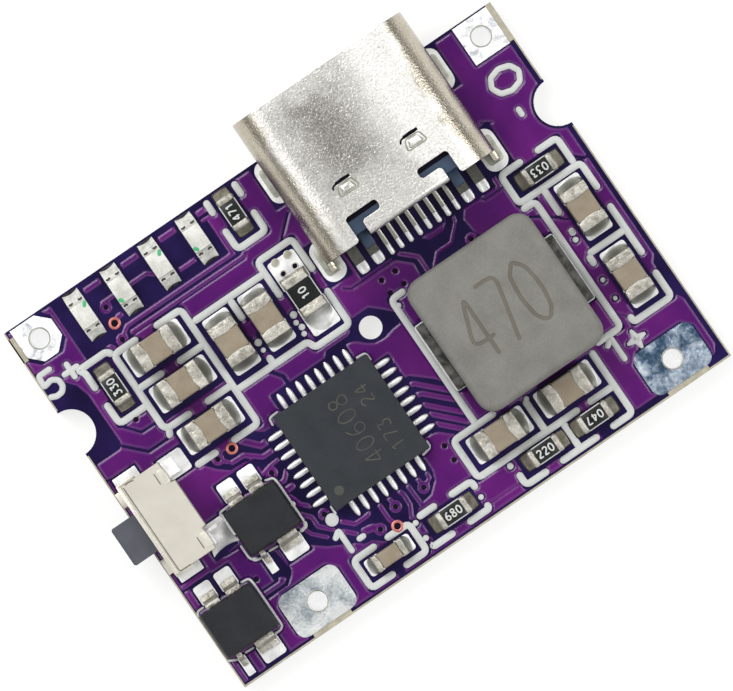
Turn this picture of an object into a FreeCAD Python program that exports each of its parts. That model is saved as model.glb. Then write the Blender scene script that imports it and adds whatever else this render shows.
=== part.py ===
import FreeCAD, Part
import os
import re
import Sketcher

# A USB-C charging module: a small circuit board with its parts soldered on one side.
# Millimetres. The origin is the centre of the board's rectangle on its underside,
# X along the long edge, Y towards the USB-C socket and Z up out of the component side.

sizes = {
    # Circuit board
    "board_length": 26.0,
    "board_width": 18.9,
    "board_thickness": 1.2,
    "notch_radius": 1.08,
    "notch_setting": 5.33,
    "centre_hole_radius": 0.52,
    "wire_hole_radius": 0.44,
    "land_thickness": 0.04,
    # Wire pads, set in from the board's edges
    "input_plus_length": 1.84,
    "input_plus_width": 1.96,
    "input_plus_clip": 0.56,
    "input_minus_length": 1.8,
    "input_minus_width": 1.92,
    "corner_pad_inset_x": 0.28,
    "corner_pad_inset_y": 0.07,
    "battery_pad_length": 3.1,
    "battery_pad_width": 2.2,
    "battery_pad_corner": 0.45,
    "battery_pad_inset": 0.25,
    # USB-C socket
    "usb_overhang": 1.85,
    "usb_depth": 7.38,
    "usb_width": 8.94,
    "usb_height": 3.16,
    "usb_wall": 0.3,
    "usb_corner": 1.5,
    "usb_fit": 0.04,
    "rear_cut_depth": 1.2,
    "rear_cut_reach": 2.7,
    "flap_half_width": 2.1,
    "flap_neck_half": 1.08,
    "flap_length": 0.73,
    "flap_drop": 1.5,
    "flap_bend": 0.25,
    "spring_setting": 1.8,
    "spring_from_rear": 2.33,
    "spring_length": 0.75,
    "spring_width": 0.6,
    "spring_slit": 0.14,
    "pip_length": 0.5,
    "pip_width": 0.3,
    "pip_height": 0.07,
    "floor_cut_margin": 0.25,
    "floor_cut_height": 0.6,
    "front_leg_from_front": 3.0,
    "front_leg_width": 1.2,
    "rear_leg_from_rear": 0.13,
    "rear_leg_width": 1.1,
    "leg_end_height": 0.1,
    "leg_slot_width": 0.6,
    "leg_slot_ease": 0.15,
    "leg_slot_clip": 0.18,
    "leg_land_width": 1.1,
    "leg_land_border": 0.3,
    "leg_land_clip": 0.33,
    "tongue_width": 6.69,
    "tongue_thickness": 0.7,
    "tongue_set_back": 0.6,
    "tongue_root_length": 0.6,
    "tongue_root_thickness": 1.3,
    "tongue_root_width": 7.3,
    "insulator_depth": 2.1,
    "mid_plate_thickness": 0.15,
    "mid_plate_set_back": 0.25,
    "mid_plate_notch_length": 1.0,
    "mid_plate_notch_depth": 0.35,
    "mid_plate_notch_set_back": 1.1,
    "contact_pitch": 0.5,
    "contact_width": 0.22,
    "contact_thickness": 0.12,
    "contact_set_back": 0.5,
    "contact_tail_reach": 0.77,
    "contact_bend_start": 0.75,
    "contact_bend_rise": 0.55,
    "contact_overlap": 0.3,
    "contact_side_margin": 0.095,
    "power_contact_width": 0.5,
    "supply_contact_setting": 2.4,
    "ground_contact_setting": 3.2,
    "tail_land_reach": 0.5,
    # Side push-button
    "button_inset": 0.3,
    "button_length": 4.55,
    "button_depth": 2.15,
    "button_height": 2.0,
    "button_bulge": 0.2,
    "button_bulge_length": 2.4,
    "button_cavity_length": 3.1,
    "button_cavity_height": 1.5,
    "button_rear_wall": 0.62,
    "faceplate_thickness": 0.2,
    "faceplate_tab_length": 0.7,
    "faceplate_tab_thickness": 0.12,
    "faceplate_foot_length": 0.75,
    "faceplate_foot_reach": 0.25,
    "plunger_width": 1.93,
    "plunger_height": 1.0,
    "plunger_reach": 1.25,
    "plunger_fit": 0.06,
    "plunger_chamfer": 0.08,
    "plunger_flange": 0.3,
    "plunger_flange_margin": 0.22,
    "plunger_travel": 0.25,
    "driver_radius": 0.35,
    "dome_radius": 0.7,
    "dome_rise": 0.42,
    "dome_shoulder_radius": 0.42,
    "dome_shoulder_drop": 0.105,
    "dome_thickness": 0.08,
    "dome_rest_gap": 0.05,
    "terminal_setting": 1.77,
    "terminal_width": 0.75,
    "terminal_thickness": 0.15,
    "terminal_height": 0.9,
    "terminal_foot": 0.6,
    "button_land_reach": 1.15,
    "button_land_width": 1.1,
    "bracket_land_length": 1.2,
    "bracket_land_reach": 0.47,
    # Power inductor
    "inductor_length": 6.48,
    "inductor_width": 6.83,
    "inductor_height": 3.0,
    "inductor_corner": 0.5,
    "inductor_chamfer": 0.1,
    "strap_width": 3.35,
    "strap_thickness": 0.2,
    "strap_reach": 0.4,
    "strap_rise": 1.5,
    "strap_foot": 1.5,
    # Controller, a flat leadless package
    "controller_side": 5.0,
    "controller_height": 0.85,
    "controller_pitch": 0.5,
    "controller_lead_width": 0.25,
    "controller_lead_length": 0.4,
    "controller_lead_thickness": 0.2,
    "controller_pad_side": 3.4,
    "controller_land_reach": 0.72,
    # Protection chips
    "chip_length": 2.73,
    "chip_width": 2.3,
    "chip_height": 1.1,
    "chip_stand_off": 0.08,
    "chip_draft": 7.0,
    "chip_lead_thickness": 0.15,
    "chip_lead_reach": 0.66,
    "chip_lead_shoulder": 0.16,
    "chip_lead_foot": 0.34,
    "chip_land_reach": 0.5,
    "drain_lead_width": 0.72,
    "drain_lead_setting": 0.54,
    "supply_lead_width": 0.26,
    "supply_lead_setting": 0.85,
    "ground_lead_width": 0.98,
    "ground_lead_setting": 0.46,
    # Large capacitors
    "large_capacitor_length": 2.0,
    "large_capacitor_width": 1.3,
    "large_capacitor_height": 1.25,
    "large_capacitor_end": 0.5,
    "large_capacitor_reach": 0.45,
    "large_capacitor_solder": 0.8,
    # Small capacitor
    "small_capacitor_length": 1.6,
    "small_capacitor_width": 0.8,
    "small_capacitor_height": 0.8,
    "small_capacitor_end": 0.3,
    "small_capacitor_reach": 0.38,
    "small_capacitor_solder": 0.5,
    # Small resistors
    "small_resistor_length": 1.6,
    "small_resistor_width": 0.84,
    "small_resistor_height": 0.48,
    "small_resistor_end": 0.29,
    "small_resistor_reach": 0.38,
    "small_resistor_solder": 0.33,
    # Large resistor
    "large_resistor_length": 2.0,
    "large_resistor_width": 1.28,
    "large_resistor_height": 0.55,
    "large_resistor_end": 0.5,
    "large_resistor_reach": 0.98,
    "large_resistor_solder": 0.36,
    # Light-emitting diodes
    "lamp_length": 1.56,
    "lamp_width": 0.82,
    "lamp_height": 0.27,
    "lamp_end": 0.22,
    "lamp_reach": 0.44,
    "lamp_solder": 0.24,
    "lens_height": 0.32,
    # Chip finish
    "end_chamfer": 0.08,
    "ceramic_inset": 0.03,
    "ceramic_chamfer": 0.06,
    "coat_thickness": 0.06,
    "coat_inset": 0.05,
    "land_margin": 0.06,
    "land_tuck": 0.12,
    "solder_toe": 0.92,
    "solder_waist_reach": 0.34,
    "solder_waist_rise": 0.3,
    # Legend ink
    "legend_stroke": 0.26,
    "legend_thickness": 0.03,
    "legend_margin": 0.28,
    "legend_gap": 0.7,
    # Places, each measured in from an edge of the board: x from the left, y from the back
    "capacitor_1_x": 5.24,
    "capacitor_1_y": 4.32,
    "capacitor_2_x": 5.3,
    "capacitor_2_y": 6.28,
    "capacitor_3_x": 5.28,
    "capacitor_3_y": 8.5,
    "capacitor_4_x": 8.13,
    "capacitor_4_y": 5.95,
    "capacitor_5_x": 10.0,
    "capacitor_5_y": 5.95,
    "resistor_1_x": 11.4,
    "resistor_1_y": 1.27,
    "resistor_2_x": 2.72,
    "resistor_2_y": 4.7,
    "resistor_4_x": 11.98,
    "resistor_4_y": 5.97,
    "led_1_x": 3.43,
    "led_2_x": 5.42,
    "led_3_x": 7.43,
    "led_4_x": 9.43,
    "led_y": 1.31,
    "button_y": 10.78,
    # x from the left, y from the front
    "centre_hole_x": 13.55,
    "centre_hole_y": 10.0,
    "controller_x": 10.23,
    "controller_y": 6.66,
    "chip_1_x": 4.86,
    "chip_1_y": 5.75,
    "chip_2_x": 1.47,
    "chip_2_y": 2.6,
    "capacitor_10_x": 8.58,
    "capacitor_10_y": 1.23,
    "resistor_5_x": 11.95,
    "resistor_5_y": 1.2,
    "battery_minus_x": 4.8,
    # x from the right, y from the front
    "inductor_x": 7.19,
    "inductor_y": 7.21,
    "capacitor_6_x": 1.7,
    "capacitor_6_y": 9.12,
    "capacitor_7_x": 1.7,
    "capacitor_7_y": 5.52,
    "capacitor_8_x": 10.42,
    "capacitor_8_y": 2.87,
    "capacitor_9_x": 6.82,
    "capacitor_9_y": 2.87,
    "resistor_3_x": 2.38,
    "resistor_3_y": 11.55,
    "resistor_6_x": 9.15,
    "resistor_6_y": 1.17,
    "resistor_7_x": 6.52,
    "resistor_7_y": 1.17,
    "battery_plus_x": 2.22,
    "usb_x": 8.02,
}

doc = FreeCAD.newDocument("charging_module")
sheet = doc.addObject("Spreadsheet::Sheet", "Sizes")
for row, (alias, number) in enumerate(sizes.items(), start=1):
    sheet.set(f"A{row}", str(number))
    sheet.setAlias(f"A{row}", alias)
doc.recompute()

nodes = []

# Heights and edges that several pieces share, in the sheet's words
board_top = "board_thickness"
seat = "(board_thickness + land_thickness)"
board_left = "(-board_length / 2)"
board_right = "(board_length / 2)"
board_back = "(board_width / 2)"
board_front = "(-board_width / 2)"

# The board's edges that each part is placed from
from_left_back = [f"capacitor_{number}" for number in (1, 2, 3, 4, 5)]
from_left_back += [f"resistor_{number}" for number in (1, 2, 4)]
from_left_front = ["centre_hole", "controller", "chip_1", "chip_2", "capacitor_10", "resistor_5"]
from_right_front = ["inductor"] + [f"capacitor_{number}" for number in (6, 7, 8, 9)]
from_right_front += [f"resistor_{number}" for number in (3, 6, 7)]

centres = {}
for name in from_left_back:
    centres[name] = (f"({board_left} + {name}_x)", f"({board_back} - {name}_y)")
for name in from_left_front:
    centres[name] = (f"({board_left} + {name}_x)", f"({board_front} + {name}_y)")
for name in from_right_front:
    centres[name] = (f"({board_right} - {name}_x)", f"({board_front} + {name}_y)")
for number in (1, 2, 3, 4):
    centres[f"led_{number}"] = (f"({board_left} + led_{number}_x)", f"({board_back} - led_y)")

usb_middle_x = f"({board_right} - usb_x)"
button_middle_y = f"({board_back} - button_y)"
battery_minus_middle = f"({board_left} + battery_minus_x)"
battery_plus_middle = f"({board_right} - battery_plus_x)"
notch_middle_y = f"({board_back} - notch_setting)"
controller_middle_x, controller_middle_y = centres["controller"]
inductor_middle_x, inductor_middle_y = centres["inductor"]

# Counts and the limits within which two places or directions are taken as the same
signal_contacts = 8
controller_leads_a_side = 8
near = 0.001
parallel = 0.999


def sheet_words(words):
    """Turn the sheet's words in an expression into references to its cells."""
    def reference(found):
        word = found.group()
        return f"Sizes.{word}" if word in sizes else word
    return re.sub(r"[a-z][a-z0-9_]*", reference, words)


def bind(item, target, words):
    item.setExpression(target, sheet_words(words))


def keep(item, name):
    """Label an object as a sub-part that is written out under its own name."""
    item.Label = name
    nodes.append(item)
    return item


def box(name, low_x, high_x, low_y, high_y, low_z, high_z):
    item = doc.addObject("Part::Box", name)
    bind(item, "Length", f"({high_x}) - ({low_x})")
    bind(item, "Width", f"({high_y}) - ({low_y})")
    bind(item, "Height", f"({high_z}) - ({low_z})")
    bind(item, "Placement.Base.x", low_x)
    bind(item, "Placement.Base.y", low_y)
    bind(item, "Placement.Base.z", low_z)
    return item


def group(name, items):
    item = doc.addObject("Part::Compound", name)
    item.Links = items
    return item


def cut(name, base, tool):
    item = doc.addObject("Part::Cut", name)
    item.Base = base
    item.Tool = tool
    return item


def copy_at(master, name, place_x, place_y, place_z, angle):
    """Place a linked copy of a master piece, turned about Z by whole degrees."""
    item = doc.addObject("App::Link", name)
    item.LinkedObject = master
    turn = FreeCAD.Rotation(FreeCAD.Vector(0, 0, 1), angle)
    item.Placement = FreeCAD.Placement(FreeCAD.Vector(0, 0, 0), turn)
    bind(item, "Placement.Base.x", place_x)
    bind(item, "Placement.Base.y", place_y)
    bind(item, "Placement.Base.z", place_z)
    return item


def new_body(name):
    body = doc.addObject("PartDesign::Body", name)
    body.AllowCompound = True
    return body


def new_sketch(body, role, offset):
    """Attach a sketch to one of the body's own origin planes, moved along its normal."""
    planes = [item for item in body.Origin.OriginFeatures if item.Role == role]
    sketch = body.newObject("Sketcher::SketchObject", body.Name + "_sketch")
    sketch.AttachmentSupport = [(planes[0], "")]
    sketch.MapMode = "FlatFace"
    bind(sketch, "AttachmentOffset.Base.z", offset)
    return sketch


def hold_point(sketch, curve, end, place):
    across = sketch.addConstraint(Sketcher.Constraint("DistanceX", -1, 1, curve, end, 1.0))
    bind(sketch, f"Constraints[{across}]", place[0])
    up = sketch.addConstraint(Sketcher.Constraint("DistanceY", -1, 1, curve, end, 1.0))
    bind(sketch, f"Constraints[{up}]", place[1])


def draw_polygon(sketch, corners):
    """Draw a closed outline and hold each corner to the sheet."""
    count = len(corners)
    start = sketch.GeometryCount
    for step in range(count):
        first = FreeCAD.Vector(step, step * step, 0)
        after = (step + 1) % count
        second = FreeCAD.Vector(after, after * after, 0)
        sketch.addGeometry(Part.LineSegment(first, second), False)
    for step in range(count):
        after = start + (step + 1) % count
        sketch.addConstraint(Sketcher.Constraint("Coincident", start + step, 2, after, 1))
    for step, corner in enumerate(corners):
        hold_point(sketch, start + step, 1, corner)


def draw_circle(sketch, centre_x, centre_y, radius):
    up = FreeCAD.Vector(0, 0, 1)
    curve = sketch.addGeometry(Part.Circle(FreeCAD.Vector(1, 1, 0), up, 1), False)
    hold_point(sketch, curve, 3, (centre_x, centre_y))
    round_size = sketch.addConstraint(Sketcher.Constraint("Radius", curve, 1.0))
    bind(sketch, f"Constraints[{round_size}]", radius)


def rectangle(low_x, high_x, low_y, high_y):
    return [(low_x, low_y), (high_x, low_y), (high_x, high_y), (low_x, high_y)]


def oval(centre_x, centre_y, half_width, half_length, clip):
    """A slot's outline along Y, its ends drawn as three flats."""
    left = f"{centre_x} - {half_width}"
    right = f"{centre_x} + {half_width}"
    low = f"{centre_y} - {half_length}"
    high = f"{centre_y} + {half_length}"
    return [
        (f"{left} + {clip}", low), (f"{right} - {clip}", low),
        (right, f"{low} + {clip}"), (right, f"{high} - {clip}"),
        (f"{right} - {clip}", high), (f"{left} + {clip}", high),
        (left, f"{high} - {clip}"), (left, f"{low} + {clip}"),
    ]


def draw_all(sketch, outlines):
    for outline in outlines:
        if len(outline) == 3 and isinstance(outline[0], str):
            draw_circle(sketch, *outline)
        else:
            draw_polygon(sketch, outline)


def feature(body, kind, sketch, length):
    item = body.newObject(f"PartDesign::{kind}", body.Name + "_" + kind.lower())
    item.Profile = sketch
    bind(item, "Length", length)
    return item


def add_up(body, outlines, low, high, draft=None):
    """Raise outlines drawn in X and Y from one height to another."""
    sketch = new_sketch(body, "XY_Plane", low)
    draw_all(sketch, outlines)
    item = feature(body, "Pad", sketch, f"({high}) - ({low})")
    if draft:
        bind(item, "TaperAngle", draft)
    return item


def add_down(body, outlines, high, low, draft):
    """Raise outlines drawn in X and Y downwards, drawing in as a mould does."""
    sketch = new_sketch(body, "XY_Plane", high)
    draw_all(sketch, outlines)
    item = feature(body, "Pad", sketch, f"({high}) - ({low})")
    item.Reversed = True
    bind(item, "TaperAngle", draft)
    return item


def add_back(body, outlines, low, high):
    """Raise outlines drawn in X and Z along Y, from a low Y to a high one."""
    sketch = new_sketch(body, "XZ_Plane", f"-({low})")
    draw_all(sketch, outlines)
    item = feature(body, "Pad", sketch, f"({high}) - ({low})")
    item.Reversed = True
    return item


def add_across(body, outlines, low, high):
    """Raise outlines drawn in Y and Z along X, from a low X to a high one."""
    sketch = new_sketch(body, "YZ_Plane", low)
    draw_all(sketch, outlines)
    return feature(body, "Pad", sketch, f"({high}) - ({low})")


def pocket(body, role, offset, outlines, length):
    """Cut outlines out of a body and make sure that something was cut."""
    doc.recompute()
    before = body.Shape.Volume
    sketch = new_sketch(body, role, offset)
    draw_all(sketch, outlines)
    feature(body, "Pocket", sketch, length)
    doc.recompute()
    if not body.Shape.Volume < before:
        raise RuntimeError(f"a pocket of {body.Name} cuts nothing")


def cut_down(body, outlines, low, high):
    pocket(body, "XY_Plane", high, outlines, f"({high}) - ({low})")


def cut_back(body, outlines, low, high):
    pocket(body, "XZ_Plane", f"-({low})", outlines, f"({high}) - ({low})")


def cut_across(body, outlines, low, high):
    pocket(body, "YZ_Plane", high, outlines, f"({high}) - ({low})")


def runs_along(edge, direction):
    """Tell whether a straight edge lies along a direction."""
    if len(edge.Vertexes) < 2 or not isinstance(edge.Curve, Part.Line):
        return False
    run = edge.Vertexes[1].Point - edge.Vertexes[0].Point
    return abs(run.normalize().dot(direction)) > parallel


def block_master(name, low_x, high_x, low_y, high_y, low_z, high_z):
    """A plain block about its own origin, for linked copies."""
    body = new_body(name)
    add_up(body, [rectangle(low_x, high_x, low_y, high_y)], low_z, high_z)
    return body


def soften(body, size, chosen, kind="Fillet"):
    """Round or chamfer the edges that a test picks out of the body's shape so far."""
    doc.recompute()
    base = body.Tip
    names = []
    for number, edge in enumerate(base.Shape.Edges, start=1):
        if chosen(edge):
            names.append(f"Edge{number}")
    item = body.newObject(f"PartDesign::{kind}", body.Name + "_" + kind.lower())
    item.Base = (base, names)
    bind(item, "Radius" if kind == "Fillet" else "Size", size)
    return item


along_x = FreeCAD.Vector(1, 0, 0)
along_y = FreeCAD.Vector(0, 1, 0)
along_z = FreeCAD.Vector(0, 0, 1)

# Wire pads: for each its outline and the centre of its plated hole

input_plus_left = f"({board_left} + corner_pad_inset_x)"
input_plus_right = f"({input_plus_left} + input_plus_length)"
input_plus_high = f"({board_back} - corner_pad_inset_y)"
input_plus_low = f"({input_plus_high} - input_plus_width)"
input_minus_right = f"({board_right} - corner_pad_inset_x)"
input_minus_left = f"({input_minus_right} - input_minus_length)"
input_minus_high = f"({board_back} - corner_pad_inset_y)"
input_minus_low = f"({input_minus_high} - input_minus_width)"
battery_low = f"({board_front} + battery_pad_inset)"
battery_high = f"({battery_low} + battery_pad_width)"


def clipped_outline():
    """An outline with three clipped corners and a square one at the board's corner."""
    return [
        (input_plus_left, input_plus_high),
        (f"{input_plus_left}", f"{input_plus_low} + input_plus_clip"),
        (f"{input_plus_left} + input_plus_clip", input_plus_low),
        (f"{input_plus_right} - input_plus_clip", input_plus_low),
        (input_plus_right, f"{input_plus_low} + input_plus_clip"),
        (input_plus_right, f"{input_plus_high} - input_plus_clip"),
        (f"{input_plus_right} - input_plus_clip", input_plus_high),
    ]


def battery_outline(centre_x):
    left = f"{centre_x} - battery_pad_length / 2"
    right = f"{centre_x} + battery_pad_length / 2"
    return rectangle(left, right, battery_low, battery_high)


wire_pads = {
    "pad_input_plus": {
        "outline": clipped_outline(),
        "x": f"({input_plus_left} + {input_plus_right}) / 2",
        "y": f"({input_plus_low} + {input_plus_high}) / 2",
        "rounded": False,
    },
    "pad_input_minus": {
        "outline": rectangle(input_minus_left, input_minus_right, input_minus_low, input_minus_high),
        "x": f"({input_minus_left} + {input_minus_right}) / 2",
        "y": f"({input_minus_low} + {input_minus_high}) / 2",
        "rounded": False,
    },
    "pad_battery_minus": {
        "outline": battery_outline(battery_minus_middle),
        "x": battery_minus_middle,
        "y": f"({battery_low} + {battery_high}) / 2",
        "rounded": True,
    },
    "pad_battery_plus": {
        "outline": battery_outline(battery_plus_middle),
        "x": battery_plus_middle,
        "y": f"({battery_low} + {battery_high}) / 2",
        "rounded": True,
    },
}

# Places along the USB-C socket

usb_front = f"({board_back} + usb_overhang)"
usb_rear = f"({usb_front} - usb_depth)"
usb_top = f"({seat} + usb_height)"
usb_middle = f"({seat} + usb_height / 2)"
usb_side = "(usb_width / 2)"
leg_centre = "(usb_width / 2 - usb_wall / 2)"
front_leg_y = f"({usb_front} - front_leg_from_front)"
rear_leg_y = f"({usb_rear} + rear_leg_from_rear)"
legs = {
    "front": {"y": front_leg_y, "width": "front_leg_width"},
    "rear": {"y": rear_leg_y, "width": "rear_leg_width"},
}


def leg_slot(side, leg):
    return oval(
        f"{usb_middle_x} {side} {leg_centre}", leg["y"], "leg_slot_width / 2",
        f"({leg['width']} / 2 + leg_slot_ease)", "leg_slot_clip")


def make_board():
    """The laminate, with notches, drilled holes, leg slots and recesses for the lower lands."""
    body = new_body("circuit_board_body")
    add_up(body, [rectangle(board_left, board_right, board_front, board_back)], "0", board_top)
    holes = [(pad["x"], pad["y"], "wire_hole_radius") for pad in wire_pads.values()]
    holes.append((*centres["centre_hole"], "centre_hole_radius"))
    holes.append((board_left, notch_middle_y, "notch_radius"))
    holes.append((board_right, notch_middle_y, "notch_radius"))
    cut_down(body, holes, "0", board_top)
    cut_down(body, [leg_slot(side, leg) for leg in legs.values() for side in "-+"], "0", board_top)
    cut_down(body, [pad["outline"] for pad in wire_pads.values()], "0", "land_thickness")
    return keep(body, "circuit_board")


def make_wire_pad(name, pad):
    """A tinned land above a drilled hole, and one below that is let into the underside."""
    body = new_body(name + "_body")
    add_up(body, [pad["outline"]], board_top, seat)
    if pad["rounded"]:
        soften(body, "battery_pad_corner", lambda edge: runs_along(edge, along_z))
    add_up(body, [pad["outline"]], "0", "land_thickness")
    cut_down(body, [(pad["x"], pad["y"], "wire_hole_radius")], "0", seat)
    return keep(body, name)


# USB-C socket


def make_usb_shell():
    """A formed steel sleeve with a folded rear flap, spring pips and four solder legs."""
    body = new_body("usb_shell_body")
    left = f"{usb_middle_x} - {usb_side}"
    right = f"{usb_middle_x} + {usb_side}"
    add_back(body, [rectangle(left, right, seat, usb_top)], usb_rear, usb_front)
    inner = rectangle(
        f"{left} + usb_wall", f"{right} - usb_wall", f"{seat} + usb_wall", f"{usb_top} - usb_wall")
    cut_back(body, [inner], usb_rear, usb_front)
    reach = sizes["usb_width"] / 2
    middle_x = sizes["board_length"] / 2 - sizes["usb_x"]

    def corner_at(distance):
        return lambda edge: (
            runs_along(edge, along_y)
            and abs(abs(edge.Vertexes[0].Point.x - middle_x) - distance) < near)

    soften(body, "usb_corner - usb_wall", corner_at(reach - sizes["usb_wall"]))
    soften(body, "usb_corner", corner_at(reach))
    roof = f"{usb_top} - usb_wall"
    rear_cuts = []
    for side in ("-", "+"):
        rear_cuts.append([
            (f"{usb_middle_x} {side} flap_half_width", usb_rear),
            (f"{usb_middle_x} {side} rear_cut_reach", usb_rear),
            (f"{usb_middle_x} {side} rear_cut_reach", f"{usb_rear} + rear_cut_depth"),
            (f"{usb_middle_x} {side} flap_neck_half", f"{usb_rear} + rear_cut_depth"),
            (f"{usb_middle_x} {side} flap_neck_half", f"{usb_rear} + flap_length"),
            (f"{usb_middle_x} {side} flap_half_width", f"{usb_rear} + flap_length"),
        ])
    cut_down(body, rear_cuts, roof, usb_top)
    slits = []
    for side in ("-", "+"):
        centre = f"{usb_middle_x} {side} spring_setting"
        far = f"{usb_rear} + spring_from_rear + spring_width / 2"
        slits.append(rectangle(
            f"{centre} - spring_length / 2", f"{centre} + spring_length / 2",
            far, f"{far} + spring_slit"))
    cut_down(body, slits, roof, usb_top)
    floor_cut_reach = "(ground_contact_setting + power_contact_width / 2 + floor_cut_margin)"
    floor_cut = rectangle(
        f"{usb_middle_x} - {floor_cut_reach}", f"{usb_middle_x} + {floor_cut_reach}",
        usb_rear, f"{usb_rear} + contact_bend_start + contact_bend_rise")
    cut_down(body, [floor_cut], seat, f"{seat} + floor_cut_height")
    flap = rectangle(
        f"{usb_middle_x} - flap_half_width", f"{usb_middle_x} + flap_half_width",
        f"{usb_top} - flap_drop", usb_top)
    add_back(body, [flap], usb_rear, f"{usb_rear} + usb_wall")
    for leg in legs.values():
        low_y = f"{leg['y']} - {leg['width']} / 2"
        high_y = f"{leg['y']} + {leg['width']} / 2"
        feet = []
        for low_x, high_x in ((left, f"{left} + usb_wall"), (f"{right} - usb_wall", right)):
            feet.append(rectangle(low_x, high_x, low_y, high_y))
        add_up(body, feet, "leg_end_height", usb_middle)
    pips = []
    for side in ("-", "+"):
        centre = f"{usb_middle_x} {side} spring_setting"
        middle = f"{usb_rear} + spring_from_rear"
        pips.append(rectangle(
            f"{centre} - pip_length / 2", f"{centre} + pip_length / 2",
            f"{middle} - pip_width / 2", f"{middle} + pip_width / 2"))
    add_up(body, pips, usb_top, f"{usb_top} + pip_height")
    doc.recompute()
    rear_line = sizes["board_width"] / 2 + sizes["usb_overhang"] - sizes["usb_depth"]
    roof_line = sizes["board_thickness"] + sizes["land_thickness"] + sizes["usb_height"]
    soften(body, "flap_bend", lambda edge: (
        runs_along(edge, along_x)
        and abs(edge.Vertexes[0].Point.y - rear_line) < near
        and abs(edge.Vertexes[0].Point.z - roof_line) < near
        and abs(edge.CenterOfMass.x - middle_x) < near))
    return keep(body, "usb_shell")


tongue_tip = f"({usb_front} - tongue_set_back)"
insulator_rear = f"({usb_rear} + usb_wall + usb_fit)"
insulator_front = f"({insulator_rear} + insulator_depth)"
plate_rear = f"({insulator_front} - usb_wall)"


def make_mid_plate():
    """The steel plate inside the tongue, notched at both sides for the plug's latches."""
    body = new_body("usb_mid_plate_body")
    tip = f"({tongue_tip} - mid_plate_set_back)"
    notch_far = f"({tongue_tip} - mid_plate_notch_set_back)"
    notch_near = f"({notch_far} - mid_plate_notch_length)"
    half = "tongue_width / 2"
    inner = "(tongue_width / 2 - mid_plate_notch_depth)"
    corners = []
    for side, row in (("+", (tip, notch_far, notch_near, plate_rear)),
                      ("-", (plate_rear, notch_near, notch_far, tip))):
        edge = f"{usb_middle_x} {side} {half}"
        waist = f"{usb_middle_x} {side} {inner}"
        corners.append((edge, row[0]))
        corners.append((edge, row[1]))
        corners.append((waist, row[1]))
        corners.append((waist, row[2]))
        corners.append((edge, row[2]))
        corners.append((edge, row[3]))
    low = f"{usb_middle} - mid_plate_thickness / 2"
    add_up(body, [corners], low, f"{usb_middle} + mid_plate_thickness / 2")
    return keep(body, "usb_mid_plate")


def contact_heights(upper):
    """The outer and inner face of a contact on the tongue's upper or lower side, low one first."""
    side = "+" if upper else "-"
    skin = f"({usb_middle} {side} tongue_thickness / 2)"
    inner = f"({usb_middle} {side} (tongue_thickness / 2 - contact_thickness))"
    return (inner, skin) if upper else (skin, inner)


def tail_profile(upper):
    """Side view of a contact's solder tail and of its bend inside the insulator."""
    low, high = contact_heights(upper)
    foot_high = f"{seat} + contact_thickness"
    bend = f"({usb_rear} + contact_bend_start)"
    turn = f"({bend} + contact_bend_rise)"
    end = f"{turn} + contact_overlap"
    tail = f"{usb_rear} - contact_tail_reach"
    return [
        (tail, seat),
        (f"{bend} + contact_thickness", seat),
        (f"{turn} + contact_thickness", low),
        (end, low),
        (end, high),
        (turn, high),
        (bend, foot_high),
        (tail, foot_high),
    ]


def make_contact(name, tail_centre, finger_centre, width, uppers):
    """A contact whose finger on the tongue may stand beside its tail's line."""
    body = new_body(name)
    half = f"{width} / 2"
    turn = f"({usb_rear} + contact_bend_start + contact_bend_rise)"
    for upper in uppers:
        low, high = contact_heights(upper)
        finger = rectangle(turn, f"{tongue_tip} - contact_set_back", low, high)
        tail_x = f"{usb_middle_x} + ({tail_centre})"
        finger_x = f"{usb_middle_x} + ({finger_centre})"
        add_across(body, [tail_profile(upper)], f"{tail_x} - {half}", f"{tail_x} + {half}")
        add_across(body, [finger], f"{finger_x} - {half}", f"{finger_x} + {half}")
    return body


def make_usb_contacts():
    """Four wide power contacts that serve both faces, and eight signal contacts on one each."""
    ground_finger = "(tongue_width / 2 - contact_side_margin - power_contact_width / 2)"
    settings = (
        ("ground_contact_setting", ground_finger),
        ("supply_contact_setting", "supply_contact_setting"),
    )
    power = []
    for tail, finger in settings:
        for side in ("-", ""):
            name = f"usb_power_contact_{len(power) + 1}"
            centres_x = (f"{side}{tail}", f"{side}{finger}")
            power.append(make_contact(name, *centres_x, "power_contact_width", (True, False)))
    signal = []
    for step in range(signal_contacts):
        centre = f"{step - (signal_contacts - 1) / 2} * contact_pitch"
        name = f"usb_signal_contact_{step + 1}"
        signal.append(make_contact(name, centre, centre, "contact_width", (step % 2 == 0,)))
    keep(group("usb_power_contact_group", power), "usb_power_contacts")
    keep(group("usb_signal_contact_group", signal), "usb_signal_contacts")
    return power + signal


def make_usb_insulator(inserts):
    """The moulded block and tongue, moulded around the contacts and the mid plate."""
    body = new_body("usb_insulator_body")
    reach = f"({usb_side} - usb_wall - usb_fit)"
    low = f"({seat} + usb_wall + usb_fit)"
    high = f"({usb_top} - usb_wall - usb_fit)"
    add_back(
        body, [rectangle(f"{usb_middle_x} - {reach}", f"{usb_middle_x} + {reach}", low, high)],
        insulator_rear, insulator_front)
    soften(body, "usb_corner - usb_wall - usb_fit", lambda edge: runs_along(edge, along_y))
    root = rectangle(
        f"{usb_middle_x} - tongue_root_width / 2", f"{usb_middle_x} + tongue_root_width / 2",
        f"{usb_middle} - tongue_root_thickness / 2", f"{usb_middle} + tongue_root_thickness / 2")
    add_back(body, [root], insulator_front, f"{insulator_front} + tongue_root_length")
    tongue = rectangle(
        f"{usb_middle_x} - tongue_width / 2", f"{usb_middle_x} + tongue_width / 2",
        f"{usb_middle} - tongue_thickness / 2", f"{usb_middle} + tongue_thickness / 2")
    add_back(body, [tongue], f"{insulator_front} + tongue_root_length", tongue_tip)
    return keep(cut("usb_insulator_moulding", body, group("usb_inserts", inserts)), "usb_insulator")


# Side push-button

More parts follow.
